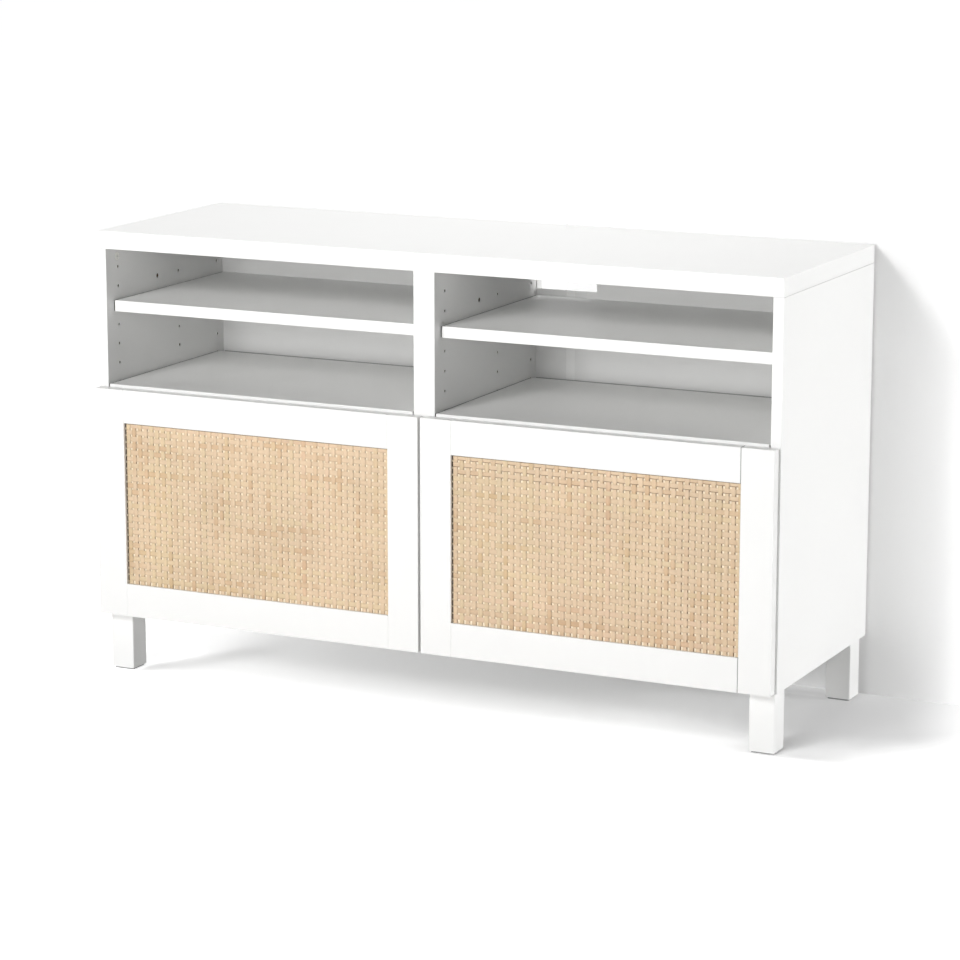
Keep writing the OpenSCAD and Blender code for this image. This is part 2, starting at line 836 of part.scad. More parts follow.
// Corners of a channel: a web near the wall, flanges, and lips that turn in
function channel(web_x, edge_x, half_h, lip) = [
    [edge_x, half_h - lip],
    [edge_x, half_h],
    [web_x, half_h],
    [web_x, -half_h],
    [edge_x, -half_h],
    [edge_x, -half_h + lip]
];

// A member of a runner on the wall of the left bay, with holes through its web
module rail_member(corners, length, web_x, hole_cols, hole_d) {
    translate([-bay_w / 2, rail_y0 + length, rail_mid_z])
        rotate([90, 0, 0])
            difference() {
                linear_extrude(length)
                    polygon(strip_outline(corners));
                for (col = hole_cols)
                    translate([web_x - runner_t - cut, 0, length - col])
                        aim([1, 0, 0])
                            cylinder(d = hole_d, h = 2 * (runner_t + cut), $fn = small_fn);
            }
}

// A runner part on both walls of the left bay
module on_bay_walls() {
    translate([-bay_x, 0, 0])
        both_sides()
            children();
}

// The cabinet members, with a tongue bent in from the web that stops the drawer
module left_cabinet_rails() {
    half = runner_t / 2;
    corners = channel(half, outer_reach - half, outer_h - half,
                      race_h + half - lip_clear);
    color(steel)
        on_bay_walls()
            union() {
                rail_member(corners, rail_l, half, rail_screw_cols, screw_d + 2 * fit_gap);
                translate([-bay_w / 2, rail_y0 + rail_l - runner_t, rail_mid_z])
                    slab([half, 0, -rail_stop_h / 2], [outer_reach, runner_t, rail_stop_h / 2]);
            }
}

module right_cabinet_rails() {
    mirror([1, 0, 0])
        left_cabinet_rails();
}

module left_middle_rails() {
    half = runner_t / 2;
    corners = channel(middle_start + half, middle_reach - half, middle_h - half,
                      race_h + half - lip_clear);
    color(steel)
        on_bay_walls()
            rail_member(corners, rail_l - rail_stop_room, middle_start + half,
                        rail_hole_cols, rail_hole_d);
}

module right_middle_rails() {
    mirror([1, 0, 0])
        left_middle_rails();
}

// The drawer members are plain channels that open towards the wall
module left_drawer_rails() {
    half = runner_t / 2;
    corners = [
        [inner_start, inner_h - half],
        [runner_w - half, inner_h - half],
        [runner_w - half, half - inner_h],
        [inner_start, half - inner_h]
    ];
    color(steel)
        on_bay_walls()
            rail_member(corners, rail_l - rail_stop_room, runner_w - half,
                        rail_screw_cols, screw_d + 2 * fit_gap);
}

module right_drawer_rails() {
    mirror([1, 0, 0])
        left_drawer_rails();
}

// Retainer strips with their balls, above and below the middle of a runner
module ball_cages(height) {
    step = cage_l / ball_n;
    for (h = [-height, height])
        translate([-bay_w / 2 + ball_x, cage_y0, rail_mid_z + h]) {
            difference() {
                translate([-cage_w / 2, 0, -cage_t / 2])
                    cube([cage_w, cage_l, cage_t]);
                for (i = [0 : ball_n - 1])
                    translate([0, (i + 0.5) * step, -cage_t])
                        cylinder(d = ball_d + 2 * pocket_gap, h = 2 * cage_t, $fn = small_fn);
            }
            for (i = [0 : ball_n - 1])
                translate([0, (i + 0.5) * step, 0])
                    sphere(d = ball_d, $fn = ball_fn);
        }
}

module left_outer_ball_cages() {
    color(zinc)
        on_bay_walls()
            ball_cages(outer_ball_h);
}

module right_outer_ball_cages() {
    mirror([1, 0, 0])
        left_outer_ball_cages();
}

module left_inner_ball_cages() {
    color(zinc)
        on_bay_walls()
            ball_cages(inner_ball_h);
}

module right_inner_ball_cages() {
    mirror([1, 0, 0])
        left_inner_ball_cages();
}

// The housings of the push openers, under the front of the middle shelves
module push_openers() {
    color(grey_plastic)
        both_sides()
            translate([-bay_x, opener_y, opener_z])
                difference() {
                    union() {
                        rod([0, 0, 0], [0, 1, 0], opener_d, opener_l);
                        slab([-opener_d / 2, 0, 0], [opener_d / 2, opener_l, opener_drop]);
                        slab([-ear_w / 2, opener_l - ear_l, opener_drop - ear_t],
                             [ear_w / 2, opener_l, opener_drop]);
                    }
                    drill([0, 0, 0], [0, 1, 0], opener_bore_d, plunger_l);
                    for (s = [-1, 1])
                        drill([s * ear_hole_x, opener_l - ear_l / 2, opener_drop - ear_t], [0, 0, 1],
                              screw_d + 2 * fit_gap, ear_t + cut);
                }
}

// The sprung plunger of a push opener, with its cap just behind the drawer front
module left_push_plunger() {
    color(white)
        union() {
            rod([-bay_x, cap_y, opener_z], [0, 1, 0], plunger_cap_d, cap_l);
            rod([-bay_x, cap_y, opener_z], [0, 1, 0], plunger_d, plunger_l);
        }
}

module right_push_plunger() {
    mirror([1, 0, 0])
        left_push_plunger();
}

// The groove for the woven panel in one edge of a frame member, along X or Z
module frame_groove(lo, hi) {
    slab([lo.x, panel_y - groove_play / 2, lo.y],
         [hi.x, panel_y + weave_t + backing_t + groove_play / 2, hi.y]);
}

// A stile in the local X of the front; its groove faces the opening
module stile(side) {
    x0 = side < 0 ? -front_w / 2 : panel_x1;
    groove_x = side < 0 ? panel_x0 - groove_depth : panel_x1 - cut;
    color(white)
        translate([-front_x, 0, 0])
            difference() {
                board([x0, front_face_y, front_z0], [x0 + stile_w, front_back_y, front_z1]);
                frame_groove([groove_x, front_z0 - cut],
                             [groove_x + groove_depth + cut, front_z1 + cut]);
                for (z = front_screw_z)
                    pilot([front_x - bay_x + side * front_screw_x, front_back_y, z], [0, -1, 0],
                          screw_d, front_screw_hold - cut / 2);
            }
}

module left_drawer_outer_stile() {
    stile(-1);
}

module left_drawer_inner_stile() {
    stile(1);
}

module right_drawer_outer_stile() {
    mirror([1, 0, 0])
        stile(-1);
}

module right_drawer_inner_stile() {
    mirror([1, 0, 0])
        stile(1);
}

// A rail between the stiles, with stub tenons in the stiles' grooves
module front_rail(z0, groove_z) {
    color(white)
        translate([-front_x, 0, 0])
            difference() {
                union() {
                    board([panel_x0, front_face_y, z0], [panel_x1, front_back_y, z0 + rail_w]);
                    slab([panel_x0 - panel_tongue, panel_y, z0 + edge_r],
                         [panel_x1 + panel_tongue, panel_y + weave_t + backing_t, z0 + rail_w - edge_r]);
                }
                frame_groove([panel_x0 - groove_depth - cut, groove_z],
                             [panel_x1 + groove_depth + cut, groove_z + groove_depth + cut]);
            }
}

module left_drawer_top_rail() {
    front_rail(panel_z1, panel_z1 - cut);
}

module left_drawer_bottom_rail() {
    front_rail(front_z0, panel_z0 - groove_depth);
}

module right_drawer_top_rail() {
    mirror([1, 0, 0])
        left_drawer_top_rail();
}

module right_drawer_bottom_rail() {
    mirror([1, 0, 0])
        left_drawer_bottom_rail();
}

// A thin panel in the grooves of the frame
module framed_panel(y, t) {
    translate([-front_x, 0, 0])
        slab([panel_x0 - panel_tongue, y, panel_z0 - panel_tongue],
             [panel_x1 + panel_tongue, y + t, panel_z1 + panel_tongue]);
}

module left_drawer_woven_panel() {
    color(cane)
        framed_panel(panel_y, weave_t);
}

module right_drawer_woven_panel() {
    mirror([1, 0, 0])
        left_drawer_woven_panel();
}

module left_drawer_backing_board() {
    color(cream)
        framed_panel(panel_y + weave_t, backing_t);
}

module right_drawer_backing_board() {
    mirror([1, 0, 0])
        left_drawer_backing_board();
}

// The groove for the drawer bottom, between two corners in X and Y
module bottom_groove(lo, hi) {
    slab([lo.x, lo.y, box_z + box_bottom_rise - groove_play / 2],
         [hi.x, hi.y, box_z + box_bottom_rise + box_bottom_t + groove_play / 2]);
}

// A side of the drawer box in the local X of the bay
module box_side(side) {
    outer = side * box_w / 2;
    inner = side * (box_w / 2 - box_t);
    groove_x = inner + side * box_groove;
    color(raw_white)
        translate([-bay_x, 0, 0])
            difference() {
                board([min(outer, inner), box_y0, box_z], [max(outer, inner), box_y1, box_z + box_h]);
                bottom_groove([min(groove_x, inner - side * cut), box_y0 - cut],
                              [max(groove_x, inner - side * cut), box_y1 + cut]);
                for (col = rail_screw_cols)
                    pilot([outer, rail_y0 + col, rail_mid_z], [-side, 0, 0], screw_d, box_t - screw_tip);
                for (z = corner_screw_z, y = [box_y0 + box_t / 2, box_y1 - box_t / 2])
                    drill([outer, y, z], [-side, 0, 0], screw_d + 2 * fit_gap, box_t + cut);
            }
}

module left_drawer_box_outer_side() {
    box_side(-1);
}

module left_drawer_box_inner_side() {
    box_side(1);
}

module right_drawer_box_outer_side() {
    mirror([1, 0, 0])
        box_side(-1);
}

module right_drawer_box_inner_side() {
    mirror([1, 0, 0])
        box_side(1);
}

// The front or back of the drawer box, between its sides
module box_end(y0, groove_y) {
    half = box_w / 2 - box_t;
    color(raw_white)
        translate([-bay_x, 0, 0])
            difference() {
                board([-half, y0, box_z], [half, y0 + box_t, box_z + box_h]);
                bottom_groove([-half - cut, groove_y], [half + cut, groove_y + box_groove + cut]);
                for (s = [-1, 1], z = corner_screw_z)
                    pilot([s * half, y0 + box_t / 2, z], [-s, 0, 0], screw_d, 2 * screw_l);
            }
}

module left_drawer_box_front() {
    color(raw_white)
        difference() {
            box_end(box_y0, box_y0 + box_t - box_groove);
            for (s = [-1, 1], z = front_screw_z)
                drill([-bay_x + s * front_screw_x, box_y0 + box_t, z], [0, -1, 0],
                      screw_d + 2 * fit_gap, box_t + cut);
        }
}

module right_drawer_box_front() {
    mirror([1, 0, 0])
        left_drawer_box_front();
}

module left_drawer_box_back() {
    box_end(box_y1 - box_t, box_y1 - box_t - cut);
}

module right_drawer_box_back() {
    mirror([1, 0, 0])
        left_drawer_box_back();
}

module left_drawer_box_bottom() {
    tongue = box_groove - groove_play;
    half = box_w / 2 - box_t + tongue;
    z = box_z + box_bottom_rise;
    color(raw_white)
        translate([-bay_x, 0, 0])
            slab([-half, box_y0 + box_t - tongue, z],
                 [half, box_y1 - box_t + tongue, z + box_bottom_t]);
}

module right_drawer_box_bottom() {
    mirror([1, 0, 0])
        left_drawer_box_bottom();
}

// Screws of the drawer rails, the box corners and the front frame
module left_drawer_screws() {
    color(steel)
        translate([-bay_x, 0, 0])
            for (s = [-1, 1]) {
                for (col = rail_screw_cols)
                    screw([s * (box_w / 2 + runner_t), rail_y0 + col, rail_mid_z], [-s, 0, 0],
                          screw_d, box_t - screw_tip);
                for (z = corner_screw_z, y = [box_y0 + box_t / 2, box_y1 - box_t / 2])
                    screw([s * box_w / 2, y, z], [-s, 0, 0], screw_d, box_t + 2 * screw_l - 1);
                for (z = front_screw_z)
                    screw([s * front_screw_x, box_y0 + box_t, z], [0, -1, 0],
                          screw_d, box_t + front_screw_hold - cut);
            }
}

module right_drawer_screws() {
    mirror([1, 0, 0])
        left_drawer_screws();
}

top_panel();
bottom_panel();
left_side();
right_side();
centre_partition();
left_middle_shelf();
right_middle_shelf();
left_adjustable_shelf();
right_adjustable_shelf();
left_back_panel();
right_back_panel();
shelf_supports();
cam_locks();
cam_bolts();
wood_dowels();
carcass_screws();
front_left_leg();
front_right_leg();
back_left_leg();
back_right_leg();
leg_bolts();
leg_glides();
wall_brackets();
left_cabinet_rails();
right_cabinet_rails();
push_openers();
left_push_plunger();
right_push_plunger();
left_middle_rails();
right_middle_rails();
left_outer_ball_cages();
right_outer_ball_cages();
left_inner_ball_cages();
right_inner_ball_cages();
left_drawer_outer_stile();
left_drawer_inner_stile();
left_drawer_top_rail();
left_drawer_bottom_rail();
left_drawer_woven_panel();
left_drawer_backing_board();
left_drawer_box_front();
left_drawer_box_back();
left_drawer_box_outer_side();
left_drawer_box_inner_side();
left_drawer_box_bottom();
left_drawer_rails();
left_drawer_screws();
right_drawer_outer_stile();
right_drawer_inner_stile();
right_drawer_top_rail();
right_drawer_bottom_rail();
right_drawer_woven_panel();
right_drawer_backing_board();
right_drawer_box_front();
right_drawer_box_back();
right_drawer_box_outer_side();
right_drawer_box_inner_side();
right_drawer_box_bottom();
right_drawer_rails();
right_drawer_screws();
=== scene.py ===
"""Finishes, woven panels, fittings and studio of a low white bench for a television."""

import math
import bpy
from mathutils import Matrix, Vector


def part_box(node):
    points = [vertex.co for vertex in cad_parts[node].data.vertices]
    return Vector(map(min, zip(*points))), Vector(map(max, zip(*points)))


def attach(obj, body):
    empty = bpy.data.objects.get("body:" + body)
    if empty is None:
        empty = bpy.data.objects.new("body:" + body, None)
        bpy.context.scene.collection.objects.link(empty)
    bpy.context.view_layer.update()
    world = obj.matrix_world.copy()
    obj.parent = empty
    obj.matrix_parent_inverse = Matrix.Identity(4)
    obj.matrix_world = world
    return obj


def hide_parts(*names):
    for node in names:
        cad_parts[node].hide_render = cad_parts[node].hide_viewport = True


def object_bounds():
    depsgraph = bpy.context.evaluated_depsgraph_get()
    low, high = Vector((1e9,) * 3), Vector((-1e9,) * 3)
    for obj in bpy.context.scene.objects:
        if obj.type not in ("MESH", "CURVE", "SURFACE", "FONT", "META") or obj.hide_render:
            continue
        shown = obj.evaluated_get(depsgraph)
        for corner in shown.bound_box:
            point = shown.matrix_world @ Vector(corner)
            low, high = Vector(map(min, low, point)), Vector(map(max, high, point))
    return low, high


bl_info = {
    "name": "Television Bench",
    "version": (1, 0, 0),
    "blender": (4, 5, 0),
    "location": "3D View > Sidebar > Bench",
    "description": "Dresses a low white bench with open shelves and two drawers with woven fronts",
    "category": "Object",
}

import bpy
import numpy as np
from bpy.props import FloatProperty, FloatVectorProperty, IntProperty, PointerProperty
from bpy.types import Operator, Panel, PropertyGroup
from mathutils import Vector

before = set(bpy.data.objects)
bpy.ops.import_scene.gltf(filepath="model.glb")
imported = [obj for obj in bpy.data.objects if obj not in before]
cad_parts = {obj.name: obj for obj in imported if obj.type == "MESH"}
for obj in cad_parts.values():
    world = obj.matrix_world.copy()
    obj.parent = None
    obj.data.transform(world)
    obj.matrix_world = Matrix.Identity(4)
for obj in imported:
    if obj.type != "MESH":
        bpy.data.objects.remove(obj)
cad_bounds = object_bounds()

SIDES = ("left", "right")
MM = 0.001


def colour_property(name, description, default):
    """A colour setting, as a linear colour."""
    return FloatVectorProperty(name=name, description=description, subtype="COLOR", size=3,
                               min=0.0, max=1.0, default=default)


def length_property(name, description, default):
    """A length setting in metres."""
    return FloatProperty(name=name, description=description, default=default, min=0.0,
                         unit="LENGTH", precision=5)


def power_property(name, description, default):
    """The power of a lamp in watts."""
    return FloatProperty(name=name, description=description, default=default, min=0.0, unit="POWER")


def tone_property(name, description, default):
    """A brightness or a share, without a unit."""
    return FloatProperty(name=name, description=description, default=default, min=0.0)


class BenchFinishes(PropertyGroup):
    """Colours of the finishes."""

    foil: colour_property("White foil", "Boards of the carcass, and the shelves", (0.90, 0.90, 0.89))
    paint: colour_property("White paint", "Frames of the drawer fronts", (0.87, 0.87, 0.86))
    leg_paint: colour_property("Leg paint", "The four legs", (0.90, 0.90, 0.89))
    back: colour_property("Back panels", "Thin panels behind the bays", (0.875, 0.875, 0.865))
    core: colour_property("Core", "Raw chipboard inside the boards", (0.20, 0.135, 0.08))
    box: colour_property("Drawer boxes", "Sides, ends and bottoms of the drawers", (0.82, 0.82, 0.81))
    cream: colour_property("Backing", "Board behind the woven strips", (0.98, 0.85, 0.66))
    zinc: colour_property("Zinc", "Shelf supports and ball cages", (0.72, 0.72, 0.70))
    cast: colour_property("Cast zinc", "Cam locks", (1.0, 1.0, 0.96))
    steel: colour_property("Steel", "Screws, bolts and brackets", (0.66, 0.67, 0.69))
    runner: colour_property("Runner steel", "Members of the drawer runners", (0.58, 0.60, 0.62))
    glide: colour_property("Glides", "Grey plastic under the legs", (0.34, 0.34, 0.34))
    opener: colour_property("Openers", "Grey plastic of the push openers", (0.42, 0.43, 0.44))
    plunger: colour_property("Plungers", "White plastic of the push openers", (0.80, 0.80, 0.79))
    beech: colour_property("Beech", "Dowels", (0.62, 0.42, 0.24))


class BenchWeave(PropertyGroup):
    """Sizes and colours of the woven strips."""

    pitch_x: length_property("Pitch across", "Distance between upright strips", 0.0109)
    pitch_z: length_property("Pitch upwards", "Distance between level strips", 0.0112)
    width: length_property("Strip width", "Mean width of a strip", 0.0079)
    thickness: length_property("Strip thickness", "Thickness in the middle of a strip", 0.0006)
    lift: length_property("Lift", "How far a strip rises and falls", 0.00046)
    first_x: length_property("First gap across", "From the frame to the first gaps", 0.011)
    first_z: length_property("First gap down", "From the upper rail to the first gaps", 0.010)
    seed: IntProperty(name="Seed", description="Seed of the strips' differences", default=7)
    fair: colour_property("Fair strips", "Most of the strips", (0.675, 0.51, 0.343))
    pink: colour_property("Pink strips", "The reddest strips", (0.68, 0.495, 0.34))
    yellow: colour_property("Yellow strips", "The yellowest strips", (0.665, 0.515, 0.323))
    olive: colour_property("Olive strips", "The greyest strips", (0.635, 0.505, 0.34))
    brown: colour_property("Brown strips", "The darkest strips", (0.61, 0.443, 0.288))


class BenchStudio(PropertyGroup):
    """Camera and light."""

    lens: FloatProperty(name="Lens", description="Focal length", default=127.1, unit="CAMERA")
    camera_place: FloatVectorProperty(name="Camera place", description="Where the camera stands",
                                      subtype="TRANSLATION", unit="LENGTH", size=3,
                                      default=(2.36877, -4.86611, 1.49100))
    camera_turn: FloatProperty(name="Camera turn", description="Turn to the right of the front",
                               subtype="ANGLE", default=math.radians(25.905))
    camera_dip: FloatProperty(name="Camera dip", description="Angle below the horizon",
                              subtype="ANGLE", default=math.radians(11.983))
    front_power: power_property("Front", "Power of the low lamp in front", 92.0)
    key_power: power_property("Key", "Power of the high lamp at the front left", 91.0)
    fill_power: power_property("Fill", "Power of the lamp beside the camera", 24.0)
    side_power: power_property("Side", "Power of the lamp at the back right", 96.0)
    left_power: power_property("Left", "Power of the lamp on the left", 50.0)
    top_power: power_property("Top", "Power of the lamp above", 56.0)
    floor_tone: tone_property("Floor tone", "How bright the camera sees the lit floor away from the "
                              "bench", 1.32)
    near_tone: tone_property("Near tone", "How bright the camera sees the lit floor under the bench",
                             1.03)
    wall_tone: tone_property("Wall tone", "How bright the camera sees the lit wall", 1.04)
    # The darker foot of the wall is a painted shade
    foot_shade_tone: tone_property("Foot tone", "How bright the camera sees the foot of the lit wall, near "
                             "the bench", 0.90)
    floor_lift: tone_property("Floor lift", "Brightness that the camera sees in the shadow at the "
                              "left end", 0.28)
    end_lift: tone_property("End lift", "Brightness that the camera sees in the shadow beside the "
                            "left legs, beyond the floor lift", 0.34)
    front_white: tone_property("Front white", "How white the camera sees the floor in front of the "
                               "bench at least", 0.5)
    # The trail behind the front left leg is a painted shadow
    painted_trail_shadow: tone_property("Trail shade", "Share of the lift that is missing in the shadow "
                               "behind the front left leg", 0.8)
    # The corner's tone and lift paint shade on the floor at the foot of the wall
    corner_shade_tone: tone_property("Corner tone", "Floor tone at the foot of the wall, right of the "
                               "bench", 0.3)
    corner_lift: tone_property("Corner lift", "Brightness that the camera sees there at least", 0.4)
    floor_fade: length_property("Floor fade", "Distance from the bench at which the floor is white",
                                0.75)


def node(tree, kind, values=None, **settings):
    """Adds a node: settings are its options, and a value is a number, a colour or a socket to link."""
    made = tree.nodes.new(kind)
    for name, setting in settings.items():
        setattr(made, name, setting)
    for name, value in (values or {}).items():
        if isinstance(value, bpy.types.NodeSocket):
            tree.links.new(value, made.inputs[name])
        else:
            made.inputs[name].default_value = value
    return made


def maths(tree, operation, *values, clamp=False):
    """The result of a Math node on numbers or sockets."""
    return node(tree, "ShaderNodeMath", dict(enumerate(values)), operation=operation,
                use_clamp=clamp).outputs[0]


def vector_maths(tree, operation, *values):
    """The vector that a Vector Math node makes of vectors or sockets."""
    return node(tree, "ShaderNodeVectorMath", dict(enumerate(values)), operation=operation).outputs[0]


def product(tree, first, second):
    """The product of two numbers or sockets."""
    return maths(tree, "MULTIPLY", first, second)


def less(tree, first, second):
    """The first number or socket less the second."""
    return maths(tree, "SUBTRACT", first, second)


def scaled_sum(tree, value, factor, addend):
    """A value times a factor, plus an addend."""
    return maths(tree, "MULTIPLY_ADD", value, factor, addend)


def axes(tree, place):
    """The X, Y and Z of a place or a direction."""
    return node(tree, "ShaderNodeSeparateXYZ", {0: place}).outputs


def object_place(tree):
    """The place of a surface point in the frame: every object sits at the origin, unturned."""
    return node(tree, "ShaderNodeTexCoord").outputs["Object"]


def face_axes(tree):
    """The X, Y and Z of the direction in which a face looks."""
    return axes(tree, node(tree, "ShaderNodeNewGeometry").outputs["True Normal"])


def mapped(tree, value, start, end, low=0.0, high=1.0, kind="LINEAR"):
    """Goes from low, where a value is at start, to high, where it is at end, and stays within them."""
    return node(tree, "ShaderNodeMapRange", {"Value": value, "From Min": start, "From Max": end,
                                             "To Min": low, "To Max": high},
                interpolation_type=kind).outputs[0]


def spread(tree, value, low, high):
    """A value from 0 to 1, mapped to a range."""
    return mapped(tree, value, 0.0, 1.0, low, high)


def smooth(tree, value, start, end):
    """Rises smoothly from 0 at start to 1 at end."""
    return mapped(tree, value, start, end, kind="SMOOTHSTEP")


def noise(tree, place, scale, detail=2.0, roughness=0.5):
    """The value of a Noise Texture."""
    return node(tree, "ShaderNodeTexNoise",
                {"Vector": place, "Scale": scale, "Detail": detail, "Roughness": roughness}).outputs[0]


def stretched(tree, place, scale):
    """Coordinates scaled by their own factor along each axis."""
    return node(tree, "ShaderNodeMapping", {"Vector": place, "Scale": scale}).outputs[0]


def shade_of(tree, colour, factor):
    """A colour times a factor."""
    return node(tree, "ShaderNodeVectorMath", {0: colour, "Scale": factor},
                operation="SCALE").outputs[0]


def blended(tree, factor, first, second):
    """A colour between two colours."""
    mix = node(tree, "ShaderNodeMix", data_type="RGBA")
    for socket, value in ((mix.inputs[0], factor), (mix.inputs[6], first), (mix.inputs[7], second)):
        if isinstance(value, bpy.types.NodeSocket):
            tree.links.new(value, socket)
        elif isinstance(value, float):
            socket.default_value = value
        else:
            socket.default_value = (*value, 1.0)
    return mix.outputs[2]


# Share of the colour kept by the painted shade on surfaces seen only through a gap beside or behind a
# shelf
SIDE_GAP_SHADE_SHARE = 0.35
BACK_GAP_SHADE_SHARE = 0.6

# A board is coated down to the first depth under the faces of its box, and raw from the second one
RAW_DEPTHS = (1.1 * MM, 1.5 * MM)
# How far the seam's painted shade line is blended into the coat, and the share of the coat's colour in
# the line
SEAM_BLEND = 0.4
SEAM_SHADE_SHARE = 0.35
# A height that no board reaches, for boards without a seam
NO_SEAM = 10.0

GROUP_SOCKETS = {"colour": "NodeSocketColor", "value": "NodeSocketFloat", "place": "NodeSocketVector"}


def effect(name, inputs, outputs, build):
    """A shader node group, built once: build gets the tree and its inputs, and returns its outputs."""
    if name in bpy.data.node_groups:
        return bpy.data.node_groups[name]
    tree = bpy.data.node_groups.new(name, "ShaderNodeTree")
    for label, kind in inputs.items():
        tree.interface.new_socket(label, in_out="INPUT", socket_type=GROUP_SOCKETS[kind])
    for label, kind in outputs.items():
        tree.interface.new_socket(label, in_out="OUTPUT", socket_type=GROUP_SOCKETS[kind])
    results = build(tree, tree.nodes.new("NodeGroupInput").outputs)
    ends = tree.nodes.new("NodeGroupOutput")
    for label, socket in results.items():
        tree.links.new(socket, ends.inputs[label])
    return tree


SURFACE = {"Colour": "colour", "Roughness": "value", "Height": "value"}


def rolled_coat():
    """A rolled white coat: a stipple, slow clouds of tone, and a little uneven gloss."""
    def build(tree, given):
        place = object_place(tree)
        stipple = noise(tree, place, given["Stipple"], detail=3.0)
        clouds = noise(tree, place, 7.0, detail=3.0)
        marks = noise(tree, place, 55.0, detail=4.0, roughness=0.65)
        tone = scaled_sum(tree, less(tree, clouds, 0.5), given["Clouds"], 1.0)
        gloss = scaled_sum(tree, less(tree, marks, 0.5), given["Uneven"], given["Gloss"])
        return {"Colour": shade_of(tree, given["Colour"], tone), "Roughness": gloss, "Height": stipple}
    return effect("Rolled coat", {"Colour": "colour", "Stipple": "value", "Clouds": "value",
                                  "Uneven": "value", "Gloss": "value"}, SURFACE, build)


def box_depth(tree, place, low, high):
    """The smallest distance from a place in a box to its six faces, or less than 0 outside it."""
    above = vector_maths(tree, "SUBTRACT", place, low)
    below = vector_maths(tree, "SUBTRACT", high, place)
    parts = axes(tree, vector_maths(tree, "MINIMUM", above, below))
    return maths(tree, "MINIMUM", maths(tree, "MINIMUM", parts[0], parts[1]), parts[2])


def painted_gap_shade():
    """Painted shade: darker in a box whose surfaces are seen only through a gap beside or behind a shelf.
    """
    def build(tree, given):
        depth = box_depth(tree, object_place(tree), given["Low"], given["High"])
        inside = maths(tree, "GREATER_THAN", depth, 0.0)
        dark = shade_of(tree, given["Colour"], given["Share"])
        return {"Colour": blended(tree, inside, given["Colour"], dark)}
    return effect("Shelf gap", {"Colour": "colour", "Low": "place", "High": "place",
                                "Share": "value"}, {"Colour": "colour"}, build)


def bored_core():
    """Coat outside and chipboard inside: what lies deep enough in the board's own box is raw.

    So every bore and groove shows the core. Above the height Seam the coat is darker: a painted shade,
    which draws a line at the top of a board.
    """
    def build(tree, given):
        place = object_place(tree)
        depth = box_depth(tree, place, given["Low"], given["High"])
        raw = mapped(tree, depth, *RAW_DEPTHS)
        chips = node(tree, "ShaderNodeTexVoronoi", {"Vector": place, "Scale": 700.0}).outputs["Color"]
        chip_tone = spread(tree, node(tree, "ShaderNodeSeparateColor", {0: chips}).outputs[0], 0.45, 1.05)
        core = shade_of(tree, given["Core"], chip_tone)
        seam = product(tree, maths(tree, "GREATER_THAN", axes(tree, place)[2], given["Seam"]), SEAM_BLEND)
        coated = blended(tree, seam, given["Colour"], shade_of(tree, given["Colour"], SEAM_SHADE_SHARE))
        return {"Colour": blended(tree, raw, coated, core)}
    return effect("Bored core", {"Colour": "colour", "Core": "colour", "Low": "place", "High": "place",
                                 "Seam": "value"}, {"Colour": "colour"}, build)


def edge_mask():
    """Where the surface turns within a radius: 1 less the cosine between the flat and the rounded
    normal, times the gain."""
    def build(tree, given):
        rounded = node(tree, "ShaderNodeBevel", {"Radius": given["Radius"]}, samples=4).outputs[0]
        flat = node(tree, "ShaderNodeNewGeometry").outputs["Normal"]
        cosine = node(tree, "ShaderNodeVectorMath", {0: rounded, 1: flat},
                      operation="DOT_PRODUCT").outputs["Value"]
        return {"Mask": maths(tree, "MULTIPLY", less(tree, 1.0, cosine), given["Gain"], clamp=True)}
    return effect("Edge mask", {"Radius": "value", "Gain": "value"}, {"Mask": "value"}, build)


def drawn_metal():
    """Rolled or drawn metal: fine lines along one axis, and clouds in its plating."""
    def build(tree, given):
        place = object_place(tree)
        lines = noise(tree, vector_maths(tree, "MULTIPLY", place, given["Lines"]), 1.0, detail=3.0)
        plating = noise(tree, place, 160.0, detail=4.0)
        tone = maths(tree, "ADD", spread(tree, lines, 0.94, 1.02), spread(tree, plating, -0.05, 0.05))
        rough = scaled_sum(tree, plating, 0.16, given["Gloss"])
        return {"Colour": shade_of(tree, given["Colour"], tone), "Roughness": rough, "Height": lines}
    return effect("Drawn metal", {"Colour": "colour", "Lines": "place", "Gloss": "value"},
                  SURFACE, build)


def moulded_plastic():
    """Spark-eroded plastic: small pits, and a faint cloud of tone."""
    def build(tree, given):
        place = object_place(tree)
        pits = node(tree, "ShaderNodeTexVoronoi", {"Vector": place, "Scale": 1600.0}).outputs[0]
        clouds = noise(tree, place, 90.0)
        rough = scaled_sum(tree, clouds, 0.14, given["Gloss"])
        return {"Colour": shade_of(tree, given["Colour"], spread(tree, clouds, 0.95, 1.05)),
                "Roughness": rough, "Height": pits}
    return effect("Moulded plastic", {"Colour": "colour", "Gloss": "value"}, SURFACE, build)


# The painted shadow, a dark edge beside a gap: the share of the half width at which it starts and is
# full, the rise at which it starts to fade and has faded, and its factors on the strip's red, green and
# blue
EDGE_SHARES = (0.60, 0.74)
EDGE_RISES = (0.45, 0.85)
EDGE_SHADOW_COLOUR = (0.15, 0.075, 0.025)
# The factors on the same three in a brown run or mark
BROWN = (0.84, 0.74, 0.63)


